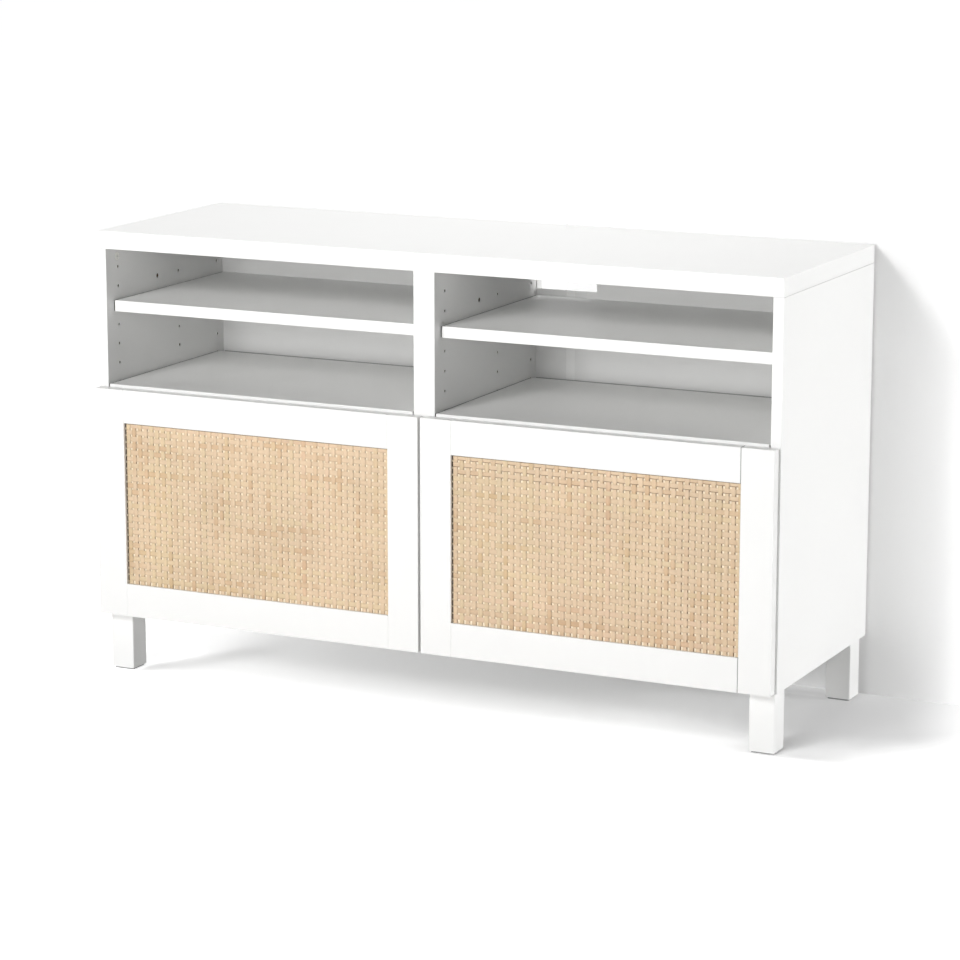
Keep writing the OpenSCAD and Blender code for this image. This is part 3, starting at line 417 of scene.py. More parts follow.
def split_fibre():
    """A split strip: fibres along it, slow blotches, brown runs, and a dark painted shadow beside the
    gaps.

    Place is (metres along the strip, share of its half width), and Rise is from -1 where the strip
    lies under its neighbour to 1 where it lies above. Shade is how dark the edge's painted shadow is:
    that of the positive share for positive values, and that of the negative share for negative values.
    Where the strip lies on top, the edge keeps 0.15 of its shade or, for negative values, 0.75.
    """
    def build(tree, given):
        def fibre(scale, detail):
            """Noise with its own scale along the strip and across it."""
            return noise(tree, stretched(tree, given["Place"], (*scale, 1.0)), 1.0, detail=detail)

        fine = fibre((45.0, 7.5), 3.0)
        coarse = fibre((16.0, 2.1), 2.0)
        blotches = fibre((34.0, 0.3), 3.0)
        marks = fibre((75.0, 0.8), 4.0)
        runs = fibre((6.0, 0.02), 1.0)
        patches = noise(tree, object_place(tree), 9.0, detail=2.0)
        fibres = scaled_sum(tree, fine, 0.55, product(tree, coarse, 0.45))
        tone = maths(tree, "ADD", spread(tree, fibres, 0.80, 1.20), spread(tree, blotches, -0.09, 0.09))
        clean = shade_of(tree, given["Colour"], maths(tree, "ADD", tone,
                                                      spread(tree, patches, -0.12, 0.12)))
        in_run = maths(tree, "MULTIPLY", less(tree, runs, 0.525), 5.0, clamp=True)
        in_mark = maths(tree, "MULTIPLY", less(tree, marks, 0.64), 5.0, clamp=True)
        toned = blended(tree, maths(tree, "MAXIMUM", in_run, in_mark), clean,
                        vector_maths(tree, "MULTIPLY", clean, BROWN))
        # The dark edge beside the gaps is a painted shadow
        side = maths(tree, "SIGN", given["Shade"])
        outward = product(tree, axes(tree, given["Place"])[1], side)
        beside_gap = mapped(tree, given["Rise"], *EDGE_RISES, 1.0, scaled_sum(tree, side, -0.3, 0.45))
        dark = product(tree, product(tree, mapped(tree, outward, *EDGE_SHARES), beside_gap),
                       maths(tree, "ABSOLUTE", given["Shade"]))
        shaded = vector_maths(tree, "MULTIPLY", toned, EDGE_SHADOW_COLOUR)
        return {"Colour": blended(tree, dark, toned, shaded),
                "Roughness": spread(tree, blotches, 0.42, 0.68), "Height": fibres}
    return effect("Split fibre", {"Place": "place", "Colour": "colour", "Rise": "value",
                                  "Shade": "value"}, SURFACE, build)


def wood_grain():
    """Straight grain along X: stretched bands with fine pores."""
    def build(tree, given):
        place = object_place(tree)
        bands = noise(tree, stretched(tree, place, (12.0, 260.0, 260.0)), 1.0, detail=4.0)
        pores = noise(tree, stretched(tree, place, (140.0, 2400.0, 2400.0)), 1.0, detail=2.0)
        tone = maths(tree, "ADD", spread(tree, bands, 0.8, 1.1), spread(tree, pores, -0.06, 0.06))
        return {"Colour": shade_of(tree, given["Colour"], tone),
                "Roughness": spread(tree, bands, 0.5, 0.7), "Height": pores}
    return effect("Wood grain", {"Colour": "colour"}, SURFACE, build)


def new_material(name):
    """A material with nodes, and its tree."""
    material = bpy.data.materials.new(name)
    material.use_nodes = True
    return material, material.node_tree


def feed_shader(tree, look, colour, bump):
    """Feeds the shader with a colour, and with an effect's roughness and relief of bump metres."""
    shader = tree.nodes["Principled BSDF"]
    relief = node(tree, "ShaderNodeBump", {"Strength": 1.0, "Distance": bump,
                                           "Height": look.outputs["Height"]})
    tree.links.new(colour, shader.inputs["Base Color"])
    tree.links.new(look.outputs["Roughness"], shader.inputs["Roughness"])
    tree.links.new(relief.outputs["Normal"], shader.inputs["Normal"])


def base_colour(material):
    """The socket that feeds a material's Base Color."""
    return material.node_tree.nodes["Principled BSDF"].inputs["Base Color"].links[0].from_socket


def recolour(material, colour):
    """Feeds a material's Base Color with another socket."""
    tree = material.node_tree
    tree.links.new(colour, tree.nodes["Principled BSDF"].inputs["Base Color"])


def finish(name, group, values, bump, constants, edge_wear_and_shade=None):
    """A material: a Principled shader whose colour, roughness and bump come from an effect.

    bump is the height of the effect's relief in metres. constants go straight to the shader's
    sockets. The last argument is (radius, gain, colour factor) of the edges: a factor above 1 lightens
    worn edges, and one below 1 darkens them as painted shade.
    """
    material, tree = new_material(name)
    look = node(tree, "ShaderNodeGroup", values, node_tree=group)
    colour = look.outputs["Colour"]
    if edge_wear_and_shade:
        radius, gain, factor = edge_wear_and_shade
        mask = node(tree, "ShaderNodeGroup", {"Radius": radius, "Gain": gain},
                    node_tree=edge_mask()).outputs["Mask"]
        colour = blended(tree, mask, colour, shade_of(tree, colour, factor))
    feed_shader(tree, look, colour, bump)
    for socket, value in constants.items():
        tree.nodes["Principled BSDF"].inputs[socket].default_value = value
    return material


def coat(name, colour, stipple, clouds, gloss, bump, ior, edge_wear_and_shade=None):
    """A white coat on a board: stipple is about how many grains a metre holds, and clouds
    is how much its tone changes."""
    values = {"Colour": (*colour, 1.0), "Stipple": stipple, "Clouds": clouds, "Uneven": 0.10,
              "Gloss": gloss}
    return finish(name, rolled_coat(), values, bump, {"IOR": ior}, edge_wear_and_shade)


def paint_gap_shade(material, boxes, share):
    """Paints shade into some boxes, each given by two opposite corners, by leaving a share of the colour
    there.
    """
    for low, high in boxes:
        values = {"Colour": base_colour(material), "Low": low, "High": high, "Share": share}
        shaded = node(material.node_tree, "ShaderNodeGroup", values, node_tree=painted_gap_shade())
        recolour(material, shaded.outputs["Colour"])


def board(name, colours, coating, stipple=900.0, gloss=0.47, seam=NO_SEAM):
    """Coats one CAD board, with raw chipboard in its bores and grooves."""
    material = coat(f"{name}_coat", coating, stipple, clouds=0.018, gloss=gloss, bump=0.012 * MM,
                    ior=1.48)
    low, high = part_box(name)
    values = {"Colour": base_colour(material), "Core": (*colours.core, 1.0), "Low": tuple(low),
              "High": tuple(high), "Seam": seam}
    bored = node(material.node_tree, "ShaderNodeGroup", values, node_tree=bored_core())
    recolour(material, bored.outputs["Colour"])
    dress(material, [name])
    return material


def metal(name, colour, lines, gloss, bump, metallic=1.0, edge_wear_and_shade=(0.35 * MM, 3.0, 1.12)):
    """A plated or bright metal: lines is about how many changes a metre holds along X, Y and Z."""
    values = {"Colour": (*colour, 1.0), "Lines": lines, "Gloss": gloss}
    return finish(name, drawn_metal(), values, bump, {"Metallic": metallic}, edge_wear_and_shade)


def plastic(name, colour, gloss):
    """A moulded plastic."""
    values = {"Colour": (*colour, 1.0), "Gloss": gloss}
    return finish(name, moulded_plastic(), values, 0.03 * MM, {"IOR": 1.5},
                  edge_wear_and_shade=(0.4 * MM, 2.0, 1.08))


def dress(material, names):
    """Puts a material on CAD nodes."""
    for name in names:
        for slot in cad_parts[name].material_slots:
            slot.material = material


def drawer_nodes(*endings):
    """The names of the nodes of both drawers with these endings."""
    return [f"{side}_drawer_{ending}" for side in SIDES for ending in endings]


def solid(name, points, polygons, material, body):
    """A closed mesh from arrays of points and polygons, turned so that its volume is positive.

    The volume is a sixth of the sum over the triangles of the fans, of one corner dotted with the
    cross product of the other two.
    """
    volume = 0.0
    for corners in polygons:
        first = points[corners[:, 0]]
        for k in range(1, corners.shape[1] - 1):
            second = points[corners[:, k]]
            third = points[corners[:, k + 1]]
            volume += np.einsum("ij,ij->", first, np.cross(second, third))
    faces = []
    for corners in polygons:
        faces.extend((corners if volume > 0 else corners[:, ::-1]).tolist())
    mesh = bpy.data.meshes.new(name)
    mesh.from_pydata(points.tolist(), [], faces)
    mesh.polygons.foreach_set("use_smooth", np.ones(len(mesh.polygons), bool))
    mesh.set_sharp_from_angle(angle=math.radians(42.0))
    mesh.materials.append(material)
    piece = bpy.data.objects.new(name, mesh)
    bpy.context.scene.collection.objects.link(piece)
    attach(piece, body)
    return piece


# Corners of a strip's section, as shares of its half width and of its thickness
STRIP_SECTION = np.array([(-1.0, -0.08), (-0.9, 0.36), (-0.45, 0.5), (0.45, 0.5), (0.9, 0.36),
                          (1.0, -0.08), (0.0, -0.5)])
STEPS_PER_PITCH = 6
FLATNESS = 1.9
# How far a strip wanders from its line, and the play between the woven panel and its grooves
DRIFT = 0.22 * MM
SLACK = 0.4 * MM
# How far the weave's middle lies behind the middle of the plain panel that it replaces
SET_BACK = 0.15 * MM
# More strips than any panel holds
MOST_STRIPS = 200


def strips(centres, start, length, pitch, crossing, parity, sizes, rng):
    """One layer of parallel strips, each a section carried along an undulating line.

    The line lies at lift * tanh(f cos a) / tanh(f), where a is 0 at the first crossing and turns by
    pi for each pitch and f is the flatness, so a strip is above one crossing and below the next.
    The sign changes from strip to strip with the parity. Its half width and its place across follow
    a slow sine of their own.
    Returns the points as (strip, step, corner, [along, across, out]), the strips' tones, and how
    high each point's step rides on the wave, from -1 to 1.
    """
    count = len(centres)
    steps = int(math.ceil(length / pitch * STEPS_PER_PITCH)) + 1
    along = start + np.linspace(0.0, length, steps)
    angle = math.pi * (along - crossing) / pitch
    wave = np.tanh(FLATNESS * np.cos(angle)) / math.tanh(FLATNESS)
    sign = np.where((np.arange(count) + parity) % 2 == 0, 1.0, -1.0)
    phase = rng.uniform(0.0, 2 * math.pi, (count, 1))
    turns = rng.uniform(8.0, 20.0, (count, 1))
    wobble = np.sin(turns * along[None, :] + phase)
    half = sizes.width / 2 * (rng.normal(1.0, 0.035, (count, 1)) + 0.03 * wobble)
    drift = DRIFT * np.sin(turns[::-1] * along[None, :] * 0.7 - phase)
    thick = sizes.thickness * rng.uniform(0.85, 1.1, (count, 1, 1))
    across = (centres[:, None] + drift)[:, :, None] + half[:, :, None] * STRIP_SECTION[:, 0]
    waves = (sign[:, None] * wave[None, :])[:, :, None]
    out = sizes.lift * waves + thick * STRIP_SECTION[:, 1]
    along_grid = np.broadcast_to(along[None, :, None], across.shape)
    slow = np.cumsum(rng.normal(0.0, 0.13, count))
    tones = np.clip(0.5 + 0.3 * (slow - slow.mean()) + rng.normal(0.0, 0.15, count), 0.0, 1.0)
    rise = np.broadcast_to(waves, across.shape)
    return np.stack([along_grid, across, out], axis=-1), tones, rise


def strip_polygons(count, steps, offset):
    """Quads between neighbouring sections, and a cap on each end, of every strip of a layer."""
    corners = len(STRIP_SECTION)
    index = offset + np.arange(count * steps * corners).reshape(count, steps, corners)
    here, there = index[:, :-1], index[:, 1:]
    quads = np.stack([here, there, np.roll(there, -1, axis=2), np.roll(here, -1, axis=2)], axis=-1)
    return [quads.reshape(-1, 4), index[:, 0, :], index[:, -1, ::-1]]


# Mean shade of the painted shadows on the edges beside the gaps, at the left and at the right end of each
# panel
EDGE_SHADES = {"left": (0.62, 0.52), "right": (0.42, 0.92)}


def edge_shadow_shades(side, uprights, levels, rng):
    """How dark the painted shadows beside the gaps are: on the right of uprights and under level strips.

    The uprights' shade goes evenly from one end's mean to the other's, with a random part, and one
    level strip in nine is much darker than the others.
    """
    means = np.linspace(*EDGE_SHADES[side], uprights)
    right = np.clip(means + rng.normal(0.0, 0.12, uprights), 0.15, 1.0)
    under = np.where(rng.uniform(size=levels) < 0.11, 0.75, rng.uniform(0.05, 0.22, levels))
    return np.concatenate([right, -under])


def woven_panel(side, material, sizes):
    """The woven strips of one drawer front, upright and level strips in one piece.

    The strips' lines are spaced evenly from the first gaps, which lie beside the left stile and
    under the upper rail, and fill the plain panel that the piece replaces.
    """
    rng = np.random.default_rng(sizes.seed + SIDES.index(side))
    low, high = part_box(f"{side}_drawer_woven_panel")
    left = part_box(f"{side}_drawer_{'outer' if side == 'left' else 'inner'}_stile")[1].x
    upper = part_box(f"{side}_drawer_top_rail")[0].z
    width = high.x - low.x - 2 * SLACK
    height = high.z - low.z - 2 * SLACK
    gap_x = left + sizes.first_x
    gap_z = upper - sizes.first_z
    first_k = math.floor((gap_x - low.x - SLACK) / sizes.pitch_x - 0.5)
    columns = gap_x - (first_k + 0.5) * sizes.pitch_x + np.arange(MOST_STRIPS) * sizes.pitch_x
    columns = columns[columns < high.x - sizes.width / 2 - SLACK]
    columns = columns[columns > low.x + sizes.width / 2 + SLACK]
    top_k = math.floor((high.z - SLACK - gap_z) / sizes.pitch_z - 0.5)
    rows = gap_z + (top_k + 0.5) * sizes.pitch_z - np.arange(MOST_STRIPS) * sizes.pitch_z
    rows = rows[rows > low.z + sizes.width / 2 + SLACK]
    rows = rows[rows < high.z - sizes.width / 2 - SLACK]
    upright, upright_tones, upright_rise = strips(columns, low.z + SLACK, height, sizes.pitch_z,
                                                  rows[0], 0, sizes, rng)
    level, level_tones, level_rise = strips(rows, low.x + SLACK, width, sizes.pitch_x, columns[0], 1,
                                            sizes, rng)
    middle = (low.y + high.y) / 2 + SET_BACK
    up = np.stack([upright[..., 1], middle - upright[..., 2], upright[..., 0]], axis=-1)
    flat = np.stack([level[..., 0], middle - level[..., 2], level[..., 1]], axis=-1)
    up_polygons = strip_polygons(up.shape[0], up.shape[1], 0)
    flat_polygons = strip_polygons(flat.shape[0], flat.shape[1], up[..., 0].size)
    flat_polygons = [corners[:, ::-1] for corners in flat_polygons]
    points = np.concatenate([up.reshape(-1, 3), flat.reshape(-1, 3)])
    piece = solid(f"{side}_woven_cane", points, up_polygons + flat_polygons, material,
                  f"{side}_drawer")
    per_strip = np.concatenate([np.full(len(upright_tones), upright[0, ..., 0].size),
                                np.full(len(level_tones), level[0, ..., 0].size)])
    tones = np.repeat(np.concatenate([upright_tones, level_tones]), per_strip)
    shift = np.repeat(rng.uniform(0.0, 5.0, len(per_strip)), per_strip)
    shades = np.repeat(edge_shadow_shades(side, len(upright_tones), len(level_tones), rng), per_strip)
    rise = np.concatenate([upright_rise.ravel(), level_rise.ravel()])
    along = np.concatenate([upright[..., 0].ravel(), level[..., 0].ravel()])
    share = np.tile(STRIP_SECTION[:, 0], len(along) // len(STRIP_SECTION))
    mesh = piece.data
    for name, values in (("tone", tones), ("rise", rise), ("shade", shades)):
        mesh.attributes.new(name, "FLOAT", "POINT").data.foreach_set("value", values)
    corner_points = np.empty(len(mesh.loops), np.int32)
    mesh.loops.foreach_get("vertex_index", corner_points)
    places = np.stack([along + shift, share], axis=-1)[corner_points]
    mesh.uv_layers.new(name="Strip").data.foreach_set("uv", places.ravel())
    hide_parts(f"{side}_drawer_woven_panel")
    return piece


# The painted shadow line in the gap of a woven opening: half its width at the left edge, its height
# at the upper edge, how far it is blended in there, and its colour
RIM_HALF = 1.0 * MM
RIM_HEIGHT = 2.5 * MM
RIM_BLEND = 0.7
RIM_SHADOW_COLOUR = (0.045, 0.035, 0.028)


def cane_material(sizes):
    """Split strips, whose colour follows each strip's tone from olive through fair to brown.

    A painted shadow, a dark line, lies in the gap at the left and upper edge of each opening.
    """
    material, tree = new_material("woven_cane")

    def strip_value(name):
        """The value that the weave holds at each of its points."""
        return node(tree, "ShaderNodeAttribute", attribute_name=name).outputs["Fac"]

    ramp = node(tree, "ShaderNodeValToRGB", {"Fac": strip_value("tone")})
    stops = ((0.0, sizes.olive), (0.22, sizes.yellow), (0.42, sizes.fair), (0.7, sizes.fair),
             (0.88, sizes.pink), (1.0, sizes.brown))
    elements = ramp.color_ramp.elements
    while len(elements) < len(stops):
        elements.new(0.5)
    for element, (position, colour) in zip(elements, stops):
        element.position = position
        element.color = (*colour, 1.0)
    values = {"Place": node(tree, "ShaderNodeUVMap", uv_map="Strip").outputs[0],
              "Colour": ramp.outputs["Color"], "Rise": strip_value("rise"),
              "Shade": strip_value("shade")}
    look = node(tree, "ShaderNodeGroup", values, node_tree=split_fibre())
    spot = axes(tree, object_place(tree))
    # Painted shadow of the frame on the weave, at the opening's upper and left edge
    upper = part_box("left_drawer_top_rail")[0].z - RIM_HEIGHT
    rim_shadow = product(tree, maths(tree, "GREATER_THAN", spot[2], upper), RIM_BLEND)
    for side, stile in (("left", "outer"), ("right", "inner")):
        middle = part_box(f"{side}_drawer_{stile}_stile")[1].x + RIM_HALF
        off = maths(tree, "ABSOLUTE", less(tree, spot[0], middle))
        rim_shadow = maths(tree, "MAXIMUM", rim_shadow, maths(tree, "LESS_THAN", off, RIM_HALF))
    feed_shader(tree, look, blended(tree, rim_shadow, look.outputs["Colour"], RIM_SHADOW_COLOUR), 0.08 * MM)
    return material


# How far the painted shade box of a side gap starts behind the shelf's front edge and ends under its top
GAP_SETBACK = 1.0 * MM
GAP_TOP = 0.3 * MM
# Half the depth of the painted shade box behind a middle shelf, and how far it ends under the shelf's top
BACK_GAP_HALF = 1.0 * MM
BACK_GAP_TOP = 2.6 * MM
# Height of the painted shade line at the top of a side panel
SEAM_HEIGHT = 0.7 * MM


class BENCH_OT_coat_boards(Operator):
    """Puts white foil on the carcass boards and the shelves"""

    bl_idname = "bench.coat_boards"
    bl_label = "Coat Boards"

    def execute(self, context):
        colours = context.scene.bench_finishes
        for name in ("top_panel", "bottom_panel", "left_middle_shelf", "right_middle_shelf",
                     "left_adjustable_shelf", "right_adjustable_shelf"):
            board(name, colours, colours.foil)
        uprights = [board("centre_partition", colours, colours.foil)]
        for name in ("left_side", "right_side"):
            uprights.append(board(name, colours, colours.foil, seam=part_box(name)[1].z - SEAM_HEIGHT))
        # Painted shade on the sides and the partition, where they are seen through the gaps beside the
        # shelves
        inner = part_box("right_side")[0].x + 1.0 * MM
        gaps = []
        for name in ("left_middle_shelf", "left_adjustable_shelf"):
            low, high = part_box(name)
            gaps.append(((-inner, low.y + GAP_SETBACK, low.z), (inner, high.y, high.z - GAP_TOP)))
        for material in uprights:
            paint_gap_shade(material, gaps, SIDE_GAP_SHADE_SHARE)
        return {"FINISHED"}


# The paler band on each back panel: its distance from the bench's middle, half its width, the width
# of its soft edges, and its colour's factor
BAND_MIDDLE = 81.5 * MM
BAND_HALF = 8.0 * MM
BAND_EDGE = 0.6 * MM
BAND_FACTOR = 1.09


class BENCH_OT_coat_backs(Operator):
    """Finishes the back panels, with a paler joint band beside each cable outlet"""

    bl_idname = "bench.coat_backs"
    bl_label = "Coat Back Panels"

    def execute(self, context):
        colours = context.scene.bench_finishes
        panel = coat("back_foil", colours.back, stipple=1300.0, clouds=0.03, gloss=0.42,
                     bump=0.01 * MM, ior=1.48)
        tree = panel.node_tree
        base = base_colour(panel)
        x = axes(tree, object_place(tree))[0]
        off = maths(tree, "ABSOLUTE", less(tree, maths(tree, "ABSOLUTE", x), BAND_MIDDLE))
        inside = mapped(tree, off, BAND_HALF - BAND_EDGE, BAND_HALF, 1.0, 0.0)
        inside = product(tree, inside, maths(tree, "LESS_THAN", face_axes(tree)[1], -0.5))
        recolour(panel, blended(tree, inside, base, shade_of(tree, base, BAND_FACTOR)))
        # Painted shade on the back panels, where they are seen through the gap behind the middle shelves
        low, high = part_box("right_middle_shelf")
        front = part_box("right_back_panel")[0].y
        gap = ((-high.x, front - BACK_GAP_HALF, low.z),
               (high.x, front + BACK_GAP_HALF, high.z - BACK_GAP_TOP))
        paint_gap_shade(panel, [gap], BACK_GAP_SHADE_SHARE)
        dress(panel, ["left_back_panel", "right_back_panel"])
        return {"FINISHED"}


class BENCH_OT_coat_legs(Operator):
    """Paints the legs and finishes their glides"""

    bl_idname = "bench.coat_legs"
    bl_label = "Coat Legs"

    def execute(self, context):
        colours = context.scene.bench_finishes
        paint = coat("leg_paint", colours.leg_paint, stipple=700.0, clouds=0.02, gloss=0.34,
                     bump=0.018 * MM, ior=1.5, edge_wear_and_shade=(0.8 * MM, 1.5, 1.03))
        dress(paint, ["front_left_leg", "front_right_leg", "back_left_leg", "back_right_leg"])
        dress(plastic("glide_plastic", colours.glide, 0.5), ["leg_glides"])
        return {"FINISHED"}


# The painted shade in the joint's groove: how far its slanted faces reach from the joint, the cosine
# from which a face counts as flat, and the share of the paint's colour that is left
JOINT_REACH = 1.2 * MM
FLAT_COSINE = 0.95
JOINT_SHADE_SHARE = 0.42


class BENCH_OT_coat_fronts(Operator):
    """Paints the stiles and rails of the drawer fronts, and their backing boards"""

    bl_idname = "bench.coat_fronts"
    bl_label = "Coat Drawer Fronts"

    def shade_joint_groove(self, material, joint_x):
        """Paints shade on the slanted faces of the groove between stile and rails at joint_x, greying
        them.
        """
        tree = material.node_tree
        base = base_colour(material)
        off = maths(tree, "ABSOLUTE", less(tree, axes(tree, object_place(tree))[0], joint_x))
        near = maths(tree, "LESS_THAN", off, JOINT_REACH)
        facing = maths(tree, "ABSOLUTE", face_axes(tree)[1])
        groove = product(tree, near, maths(tree, "LESS_THAN", facing, FLAT_COSINE))
        recolour(material, blended(tree, groove, base, shade_of(tree, base, JOINT_SHADE_SHARE)))

    def execute(self, context):
        colours = context.scene.bench_finishes
        paint = coat("front_paint", colours.paint, stipple=650.0, clouds=0.018, gloss=0.33,
                     bump=0.018 * MM, ior=1.5)
        dress(paint, drawer_nodes("outer_stile", "inner_stile", "top_rail", "bottom_rail"))
        self.shade_joint_groove(paint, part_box("right_drawer_outer_stile")[0].x)
        cream = coat("cream_backing", colours.cream, stipple=1500.0, clouds=0.05, gloss=0.6,
                     bump=0.02 * MM, ior=1.45)
        dress(cream, drawer_nodes("backing_board"))
        return {"FINISHED"}


class BENCH_OT_coat_boxes(Operator):
    """Finishes the drawer boxes and their bottoms"""

    bl_idname = "bench.coat_boxes"
    bl_label = "Coat Drawer Boxes"

    def execute(self, context):
        colours = context.scene.bench_finishes
        for name in drawer_nodes("box_front", "box_back", "box_outer_side", "box_inner_side",
                                 "box_bottom"):
            board(name, colours, colours.box, stipple=1100.0, gloss=0.45)
        return {"FINISHED"}


class BENCH_OT_weave_fronts(Operator):
    """Weaves the strips in both drawer fronts"""

    bl_idname = "bench.weave_fronts"
    bl_label = "Weave Fronts"

    def execute(self, context):
        sizes = context.scene.bench_weave
        material = cane_material(sizes)
        for side in SIDES:
            woven_panel(side, material, sizes)
        return {"FINISHED"}


class BENCH_OT_finish_fittings(Operator):
    """Finishes the cam locks, bolts, screws, supports, brackets and dowels"""

    bl_idname = "bench.finish_fittings"
    bl_label = "Finish Fittings"

    def execute(self, context):
        colours = context.scene.bench_finishes
        zinc = metal("zinc", colours.zinc, lines=(300.0, 300.0, 300.0), gloss=0.32, bump=0.02 * MM)
        dress(zinc, ["shelf_supports"])
        # The cam locks' rims are darkened: painted shade of the ring around them
        cast = metal("cast_zinc", colours.cast, lines=(260.0, 260.0, 260.0), gloss=0.42,
                     bump=0.03 * MM, metallic=0.15, edge_wear_and_shade=(0.8 * MM, 4.0, 0.3))
        dress(cast, ["cam_locks"])
        steel = metal("steel", colours.steel, lines=(900.0, 900.0, 90.0), gloss=0.22, bump=0.01 * MM)
        dress(steel, ["cam_bolts", "carcass_screws", "leg_bolts", "wall_brackets",
                      *drawer_nodes("screws")])
        beech = finish("beech", wood_grain(), {"Colour": (*colours.beech, 1.0)}, 0.03 * MM,
                       {"IOR": 1.45})
        dress(beech, ["wood_dowels"])
        return {"FINISHED"}


class BENCH_OT_finish_runners(Operator):
    """Finishes the runners and their ball cages"""

    bl_idname = "bench.finish_runners"
    bl_label = "Finish Runners"

    def execute(self, context):
        colours = context.scene.bench_finishes
        drawn = metal("runner_steel", colours.runner, lines=(2200.0, 25.0, 2200.0), gloss=0.24,
                      bump=0.012 * MM)
        cage = metal("cage_steel", colours.zinc, lines=(1800.0, 40.0, 1800.0), gloss=0.18,
                     bump=0.008 * MM)
        dress(drawn, ["left_cabinet_rails", "right_cabinet_rails", "left_middle_rails",
                      "right_middle_rails", *drawer_nodes("rails")])
        dress(cage, ["left_outer_ball_cages", "right_outer_ball_cages",
                     "left_inner_ball_cages", "right_inner_ball_cages"])
        return {"FINISHED"}


class BENCH_OT_finish_openers(Operator):
    """Finishes the housings and plungers of the push openers"""

    bl_idname = "bench.finish_openers"
    bl_label = "Finish Push Openers"

    def execute(self, context):
        colours = context.scene.bench_finishes
        dress(plastic("opener_plastic", colours.opener, 0.42), ["push_openers"])
        dress(plastic("plunger_plastic", colours.plunger, 0.36),
              ["left_push_plunger", "right_push_plunger"])
        return {"FINISHED"}


def flat_stage(name, corners, material):
    """A flat sheet of the studio, from its four corners."""
    mesh = bpy.data.meshes.new(name)
    mesh.from_pydata(corners, [], [(0, 1, 2, 3)])
    mesh.materials.append(material)
    sheet = bpy.data.objects.new(name, mesh)
    bpy.context.scene.collection.objects.link(sheet)
    return sheet


def seen_rays(tree):
    """Two masks: 1 for the camera's own rays, and 1 for those of reflections and clear materials."""
    path = node(tree, "ShaderNodeLightPath").outputs
    mirrored = maths(tree, "ADD", path["Is Glossy Ray"], path["Is Transmission Ray"], clamp=True)
    return path["Is Camera Ray"], mirrored


# Where the camera's view of the paper changes, in metres but for slopes, widenings and shares: each
# pair is where a mask starts and where it is full. First the distances from the bench over which the
# floor's tone rises, and at which it starts to fade to white, the height of the wall's darker foot,
# and where that foot ends
NEAR_REACH = 0.35
FADE_START = 0.05
FOOT_HEIGHT = 0.15
FOOT_X = (0.62, 0.72)
# The painted shade in the corner at the foot of the wall: it widens by CORNER_WIDENING beyond
# CORNER_END, and its floor goes to white across a slanted line
CORNER_X = (0.3, 0.62)
CORNER_Y = (-0.16, 0.0)
CORNER_END = 0.7
CORNER_WIDENING = 0.6
CORNER_SLANT = 0.33
CORNER_WHITE = (0.716, 0.932)
# The shadow beside the front right leg, which the white floor in front of the bench leaves out
LEG_RISE_X = (0.5, 0.6)
LEG_FALL_X = (0.66, 0.78)
LEG_Y = (-0.2, -0.165)
FRONT_Y = (-0.06, -0.22)
# The painted shadow that trails behind the front left leg: its middle line is y = TRAIL_SLOPE * x +
# TRAIL_START, its half width is TRAIL_WIDENING * x + TRAIL_WIDTH, and TRAIL_EDGE has shares of that
TRAIL_SLOPE = 1.167
TRAIL_START = 0.475
TRAIL_WIDENING = 0.8
TRAIL_WIDTH = 0.486
TRAIL_EDGE = (1.0, 0.1)
TRAIL_RISE_X = (-0.56, -0.535)
TRAIL_FALL_X = (-0.36, -0.48)
LEFT_END_X = (-0.42, -0.58)
# The painted shade on a strip of floor behind the bench, and the share that it is darker
STRIP_X = (0.62, 0.57)
STRIP_Y = (0.165, 0.19)
STRIP_SHADE = 0.3
# Where the wall comes into view
WALL_X = (-0.1, 0.4)
# How bright the paper is to the light, and the share of the glow that reflections see
PAPER_TONE = 0.88
MIRROR_SHARE = 0.2


def wall_look(tree, parts, studio):
    """The wall's tone for the camera: it falls towards the foot of the wall, near the bench alone, a
    painted shade.
    """
    foot_shade_tone = mapped(tree, parts[0], *FOOT_X, studio.foot_shade_tone, studio.wall_tone)
    return mapped(tree, parts[2], 0.0, FOOT_HEIGHT, foot_shade_tone, studio.wall_tone)


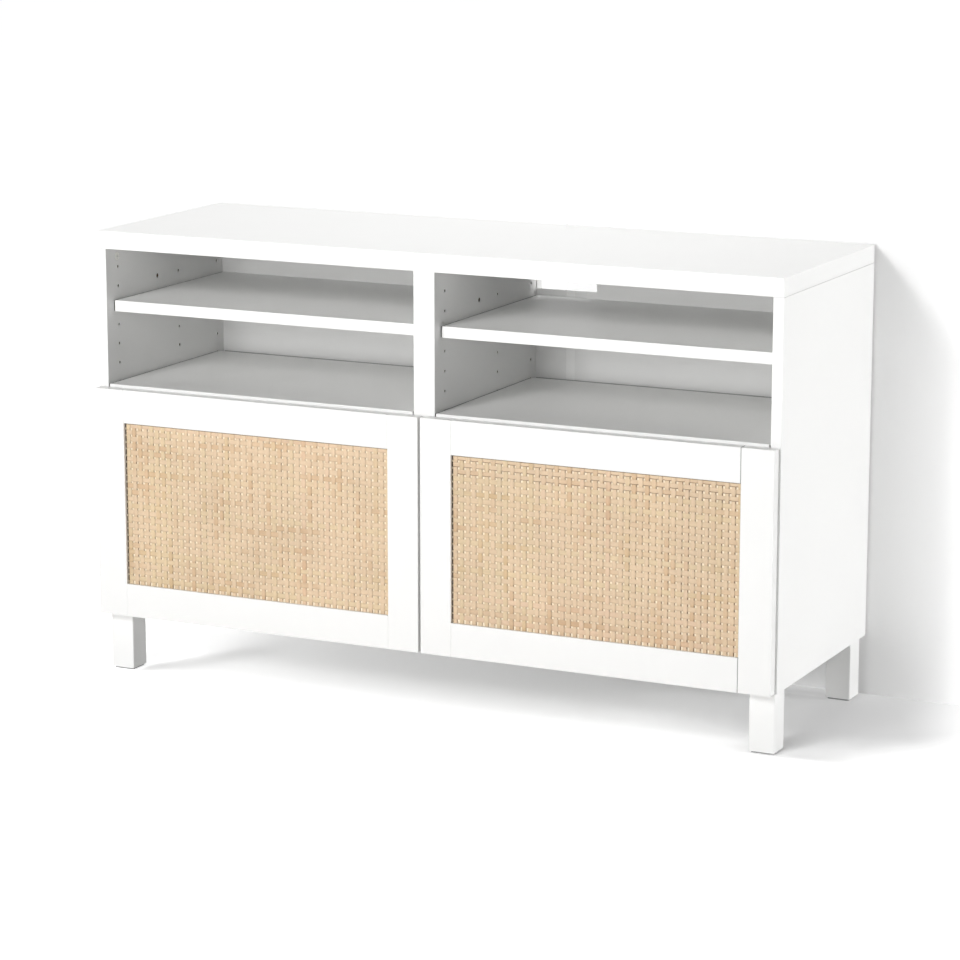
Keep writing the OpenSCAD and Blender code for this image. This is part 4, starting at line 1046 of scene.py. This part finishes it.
def floor_look(tree, parts, distance, white, lift, studio):
    """The floor's tone, whiteness and lift for the camera.

    The tone rises with the distance from the bench. In the corner at the foot of the wall it is low
    and the lift is high, so the floor is an even grey there, a painted shade, and beyond a slanted line
    it is white. In front of the bench the floor is partly white, but not beside the front right leg.
    The lift is higher at the left end, and in the trail behind the front left leg most of it is
    missing, a painted shadow. A strip behind the bench has a lower tone, a painted shade.
    """
    x, y = parts[0], parts[1]
    near_tone = mapped(tree, distance, 0.0, NEAR_REACH, studio.near_tone, studio.floor_tone)
    beyond_end = maths(tree, "MAXIMUM", less(tree, x, CORNER_END), 0.0)
    back = scaled_sum(tree, beyond_end, -CORNER_WIDENING, y)
    corner = product(tree, smooth(tree, x, *CORNER_X), smooth(tree, back, *CORNER_Y))
    slanted = scaled_sum(tree, y, CORNER_SLANT, x)
    corner_white = product(tree, smooth(tree, slanted, *CORNER_WHITE), corner)
    by_leg = less(tree, smooth(tree, x, *LEG_RISE_X), smooth(tree, x, *LEG_FALL_X))
    by_leg = product(tree, by_leg, smooth(tree, y, *LEG_Y))
    off_trail = scaled_sum(tree, x, -TRAIL_SLOPE, less(tree, y, TRAIL_START))
    half_width = scaled_sum(tree, x, TRAIL_WIDENING, TRAIL_WIDTH)
    off_trail = maths(tree, "DIVIDE", maths(tree, "ABSOLUTE", off_trail), half_width)
    trail = product(tree, smooth(tree, off_trail, *TRAIL_EDGE),
                    product(tree, smooth(tree, x, *TRAIL_RISE_X), smooth(tree, x, *TRAIL_FALL_X)))
    unlifted = scaled_sum(tree, trail, -studio.painted_trail_shadow, 1.0)
    in_front = product(tree, smooth(tree, y, *FRONT_Y), studio.front_white)
    in_front = product(tree, product(tree, in_front, less(tree, 1.0, by_leg)), unlifted)
    white = maths(tree, "MAXIMUM", white, maths(tree, "MAXIMUM", in_front, corner_white))
    lift = scaled_sum(tree, smooth(tree, x, *LEFT_END_X), studio.end_lift, lift)
    lift = scaled_sum(tree, corner, studio.corner_lift, product(tree, lift, unlifted))
    tone = scaled_sum(tree, corner, less(tree, studio.corner_shade_tone, near_tone), near_tone)
    strip = product(tree, smooth(tree, y, *STRIP_Y), smooth(tree, x, *STRIP_X))
    return product(tree, tone, scaled_sum(tree, strip, -STRIP_SHADE, 1.0)), white, lift


def paper(name, studio, is_wall):
    """Matt studio paper, on which the camera sees the bench's shadow fade to white with distance.

    The camera sees light * tone + glow, where glow = white + lift * (1 - white). White rises with
    the distance from the bench's own box, and lift falls from its left end to its right one. To the
    light the paper is plain and doesn't glow, and reflections see a share of the glow. The wall is
    clear to the light, from behind, and left of its middle.
    """
    material, tree = new_material(name)
    tree.nodes.remove(tree.nodes["Principled BSDF"])
    place = object_place(tree)
    parts = axes(tree, place)
    beyond = vector_maths(tree, "SUBTRACT", vector_maths(tree, "ABSOLUTE", place),
                          tuple(cad_bounds[1]))
    outside = vector_maths(tree, "MAXIMUM", beyond, (0.0, 0.0, 0.0))
    distance = node(tree, "ShaderNodeVectorMath", {0: outside}, operation="LENGTH").outputs["Value"]
    lift = mapped(tree, parts[0], cad_bounds[0].x, cad_bounds[1].x, studio.floor_lift, 0.0)
    white = smooth(tree, distance, FADE_START, studio.floor_fade)
    if is_wall:
        camera_tone = wall_look(tree, parts, studio)
    else:
        camera_tone, white, lift = floor_look(tree, parts, distance, white, lift, studio)
    fade = scaled_sum(tree, white, less(tree, 1.0, lift), lift)
    by_camera, by_mirror = seen_rays(tree)
    matt = node(tree, "ShaderNodeBsdfDiffuse",
                {"Color": spread(tree, by_camera, PAPER_TONE, camera_tone)}).outputs[0]
    glowing = scaled_sum(tree, by_mirror, MIRROR_SHARE, by_camera)
    glow = node(tree, "ShaderNodeEmission", {"Strength": product(tree, glowing, fade)}).outputs[0]
    surface = node(tree, "ShaderNodeAddShader", {0: matt, 1: glow}).outputs[0]
    if is_wall:
        behind = node(tree, "ShaderNodeNewGeometry").outputs["Backfacing"]
        seen = product(tree, maths(tree, "ADD", by_camera, by_mirror), less(tree, 1.0, behind))
        shown = product(tree, smooth(tree, parts[0], *WALL_X), seen)
        clear = node(tree, "ShaderNodeBsdfTransparent").outputs[0]
        surface = node(tree, "ShaderNodeMixShader", {0: shown, 1: clear, 2: surface}).outputs[0]
    tree.links.new(surface, tree.nodes["Material Output"].inputs["Surface"])
    return material


def lamp(name, place, aim, size, power):
    """A square soft lamp that points at a place."""
    data = bpy.data.lights.new(name, "AREA")
    data.size = size
    data.energy = power
    made = bpy.data.objects.new(name, data)
    made.location = place
    made.rotation_euler = (Vector(aim) - Vector(place)).to_track_quat("-Z", "Y").to_euler()
    bpy.context.scene.collection.objects.link(made)
    return made


# Half the side of the floor, the wall's left end, right end and height, and its gap to the bench
FLOOR_REACH = 40.0
WALL_ENDS = (-0.1, 6.0)
WALL_HEIGHT = 4.0
WALL_GAP = 4.0 * MM
# Place, aim and size of each lamp, in metres
LAMPS = {
    "front": ((-0.5, -5.0, 1.1), (0.0, 0.0, 0.4), 1.6),
    "key": ((-1.1, -4.4, 2.5), (0.0, 0.0, 0.35), 0.9),
    "fill": ((2.6, -4.6, 2.2), (0.0, 0.0, 0.4), 1.6),
    "side": ((4.2, 0.85, 0.8), (0.6, 0.1, 0.4), 1.2),
    "left": ((-4.2, -0.5, 1.3), (-0.6, 0.0, 0.4), 1.6),
    "top": ((0.05, 0.8, 3.1), (0.0, -0.1, 0.6), 2.0),
}


class BENCH_OT_set_studio(Operator):
    """Sets up the floor, a wall behind the right end, the lamps and the camera"""

    bl_idname = "bench.set_studio"
    bl_label = "Set Studio"

    def execute(self, context):
        scene = context.scene
        studio = scene.bench_studio
        scene.view_settings.view_transform = "Standard"
        far = FLOOR_REACH
        flat_stage("floor", [(-far, -far, 0.0), (far, -far, 0.0), (far, far, 0.0), (-far, far, 0.0)],
                   paper("floor_paper", studio, False))
        left, right = WALL_ENDS
        wall_y = cad_bounds[1].y + WALL_GAP
        flat_stage("wall", [(left, wall_y, 0.0), (right, wall_y, 0.0), (right, wall_y, WALL_HEIGHT),
                            (left, wall_y, WALL_HEIGHT)],
                   paper("wall_paper", studio, True))
        world = bpy.data.worlds.new("room")
        scene.world = world
        world.use_nodes = True
        tree = world.node_tree
        tree.links.new(maths(tree, "ADD", *seen_rays(tree)),
                       tree.nodes["Background"].inputs["Strength"])
        tree.nodes["Background"].inputs["Color"].default_value = (1.0, 1.0, 1.0, 1.0)
        for name, (place, aim, size) in LAMPS.items():
            lamp(f"{name}_lamp", place, aim, size, getattr(studio, f"{name}_power"))
        camera_data = bpy.data.cameras.new("camera")
        camera_data.lens = studio.lens
        camera = bpy.data.objects.new("camera", camera_data)
        camera.location = studio.camera_place
        camera.rotation_euler = (math.pi / 2 - studio.camera_dip, 0.0, studio.camera_turn)
        scene.collection.objects.link(camera)
        scene.camera = camera
        return {"FINISHED"}


STEPS = (
    BENCH_OT_coat_boards, BENCH_OT_coat_backs, BENCH_OT_coat_legs, BENCH_OT_coat_fronts,
    BENCH_OT_coat_boxes, BENCH_OT_weave_fronts, BENCH_OT_finish_fittings, BENCH_OT_finish_runners,
    BENCH_OT_finish_openers, BENCH_OT_set_studio,
)
SETTINGS = {"bench_finishes": BenchFinishes, "bench_weave": BenchWeave, "bench_studio": BenchStudio}


class BENCH_PT_steps(Panel):
    """Lists the steps that dress the bench"""

    bl_idname = "BENCH_PT_steps"
    bl_label = "Television Bench"
    bl_space_type = "VIEW_3D"
    bl_region_type = "UI"
    bl_category = "Bench"

    def draw(self, context):
        for step in STEPS:
            self.layout.operator(step.bl_idname)
        for name, kind in SETTINGS.items():
            box = self.layout.box()
            box.label(text=kind.__doc__)
            for setting in kind.__annotations__:
                box.prop(getattr(context.scene, name), setting)


def register():
    """Registers the settings, the steps and the panel."""
    for name, kind in SETTINGS.items():
        bpy.utils.register_class(kind)
        setattr(bpy.types.Scene, name, PointerProperty(type=kind))
    for kind in (*STEPS, BENCH_PT_steps):
        bpy.utils.register_class(kind)


def unregister():
    """Takes the panel, the steps and the settings away."""
    for kind in (BENCH_PT_steps, *reversed(STEPS)):
        bpy.utils.unregister_class(kind)
    for name, kind in SETTINGS.items():
        delattr(bpy.types.Scene, name)
        bpy.utils.unregister_class(kind)


def main():
    """Dresses the bench step by step."""
    register()
    bpy.ops.bench.coat_boards()
    bpy.ops.bench.coat_backs()
    bpy.ops.bench.coat_legs()
    bpy.ops.bench.coat_fronts()
    bpy.ops.bench.coat_boxes()
    bpy.ops.bench.weave_fronts()
    bpy.ops.bench.finish_fittings()
    bpy.ops.bench.finish_runners()
    bpy.ops.bench.finish_openers()
    bpy.ops.bench.set_studio()


if __name__ == "__main__":
    main()
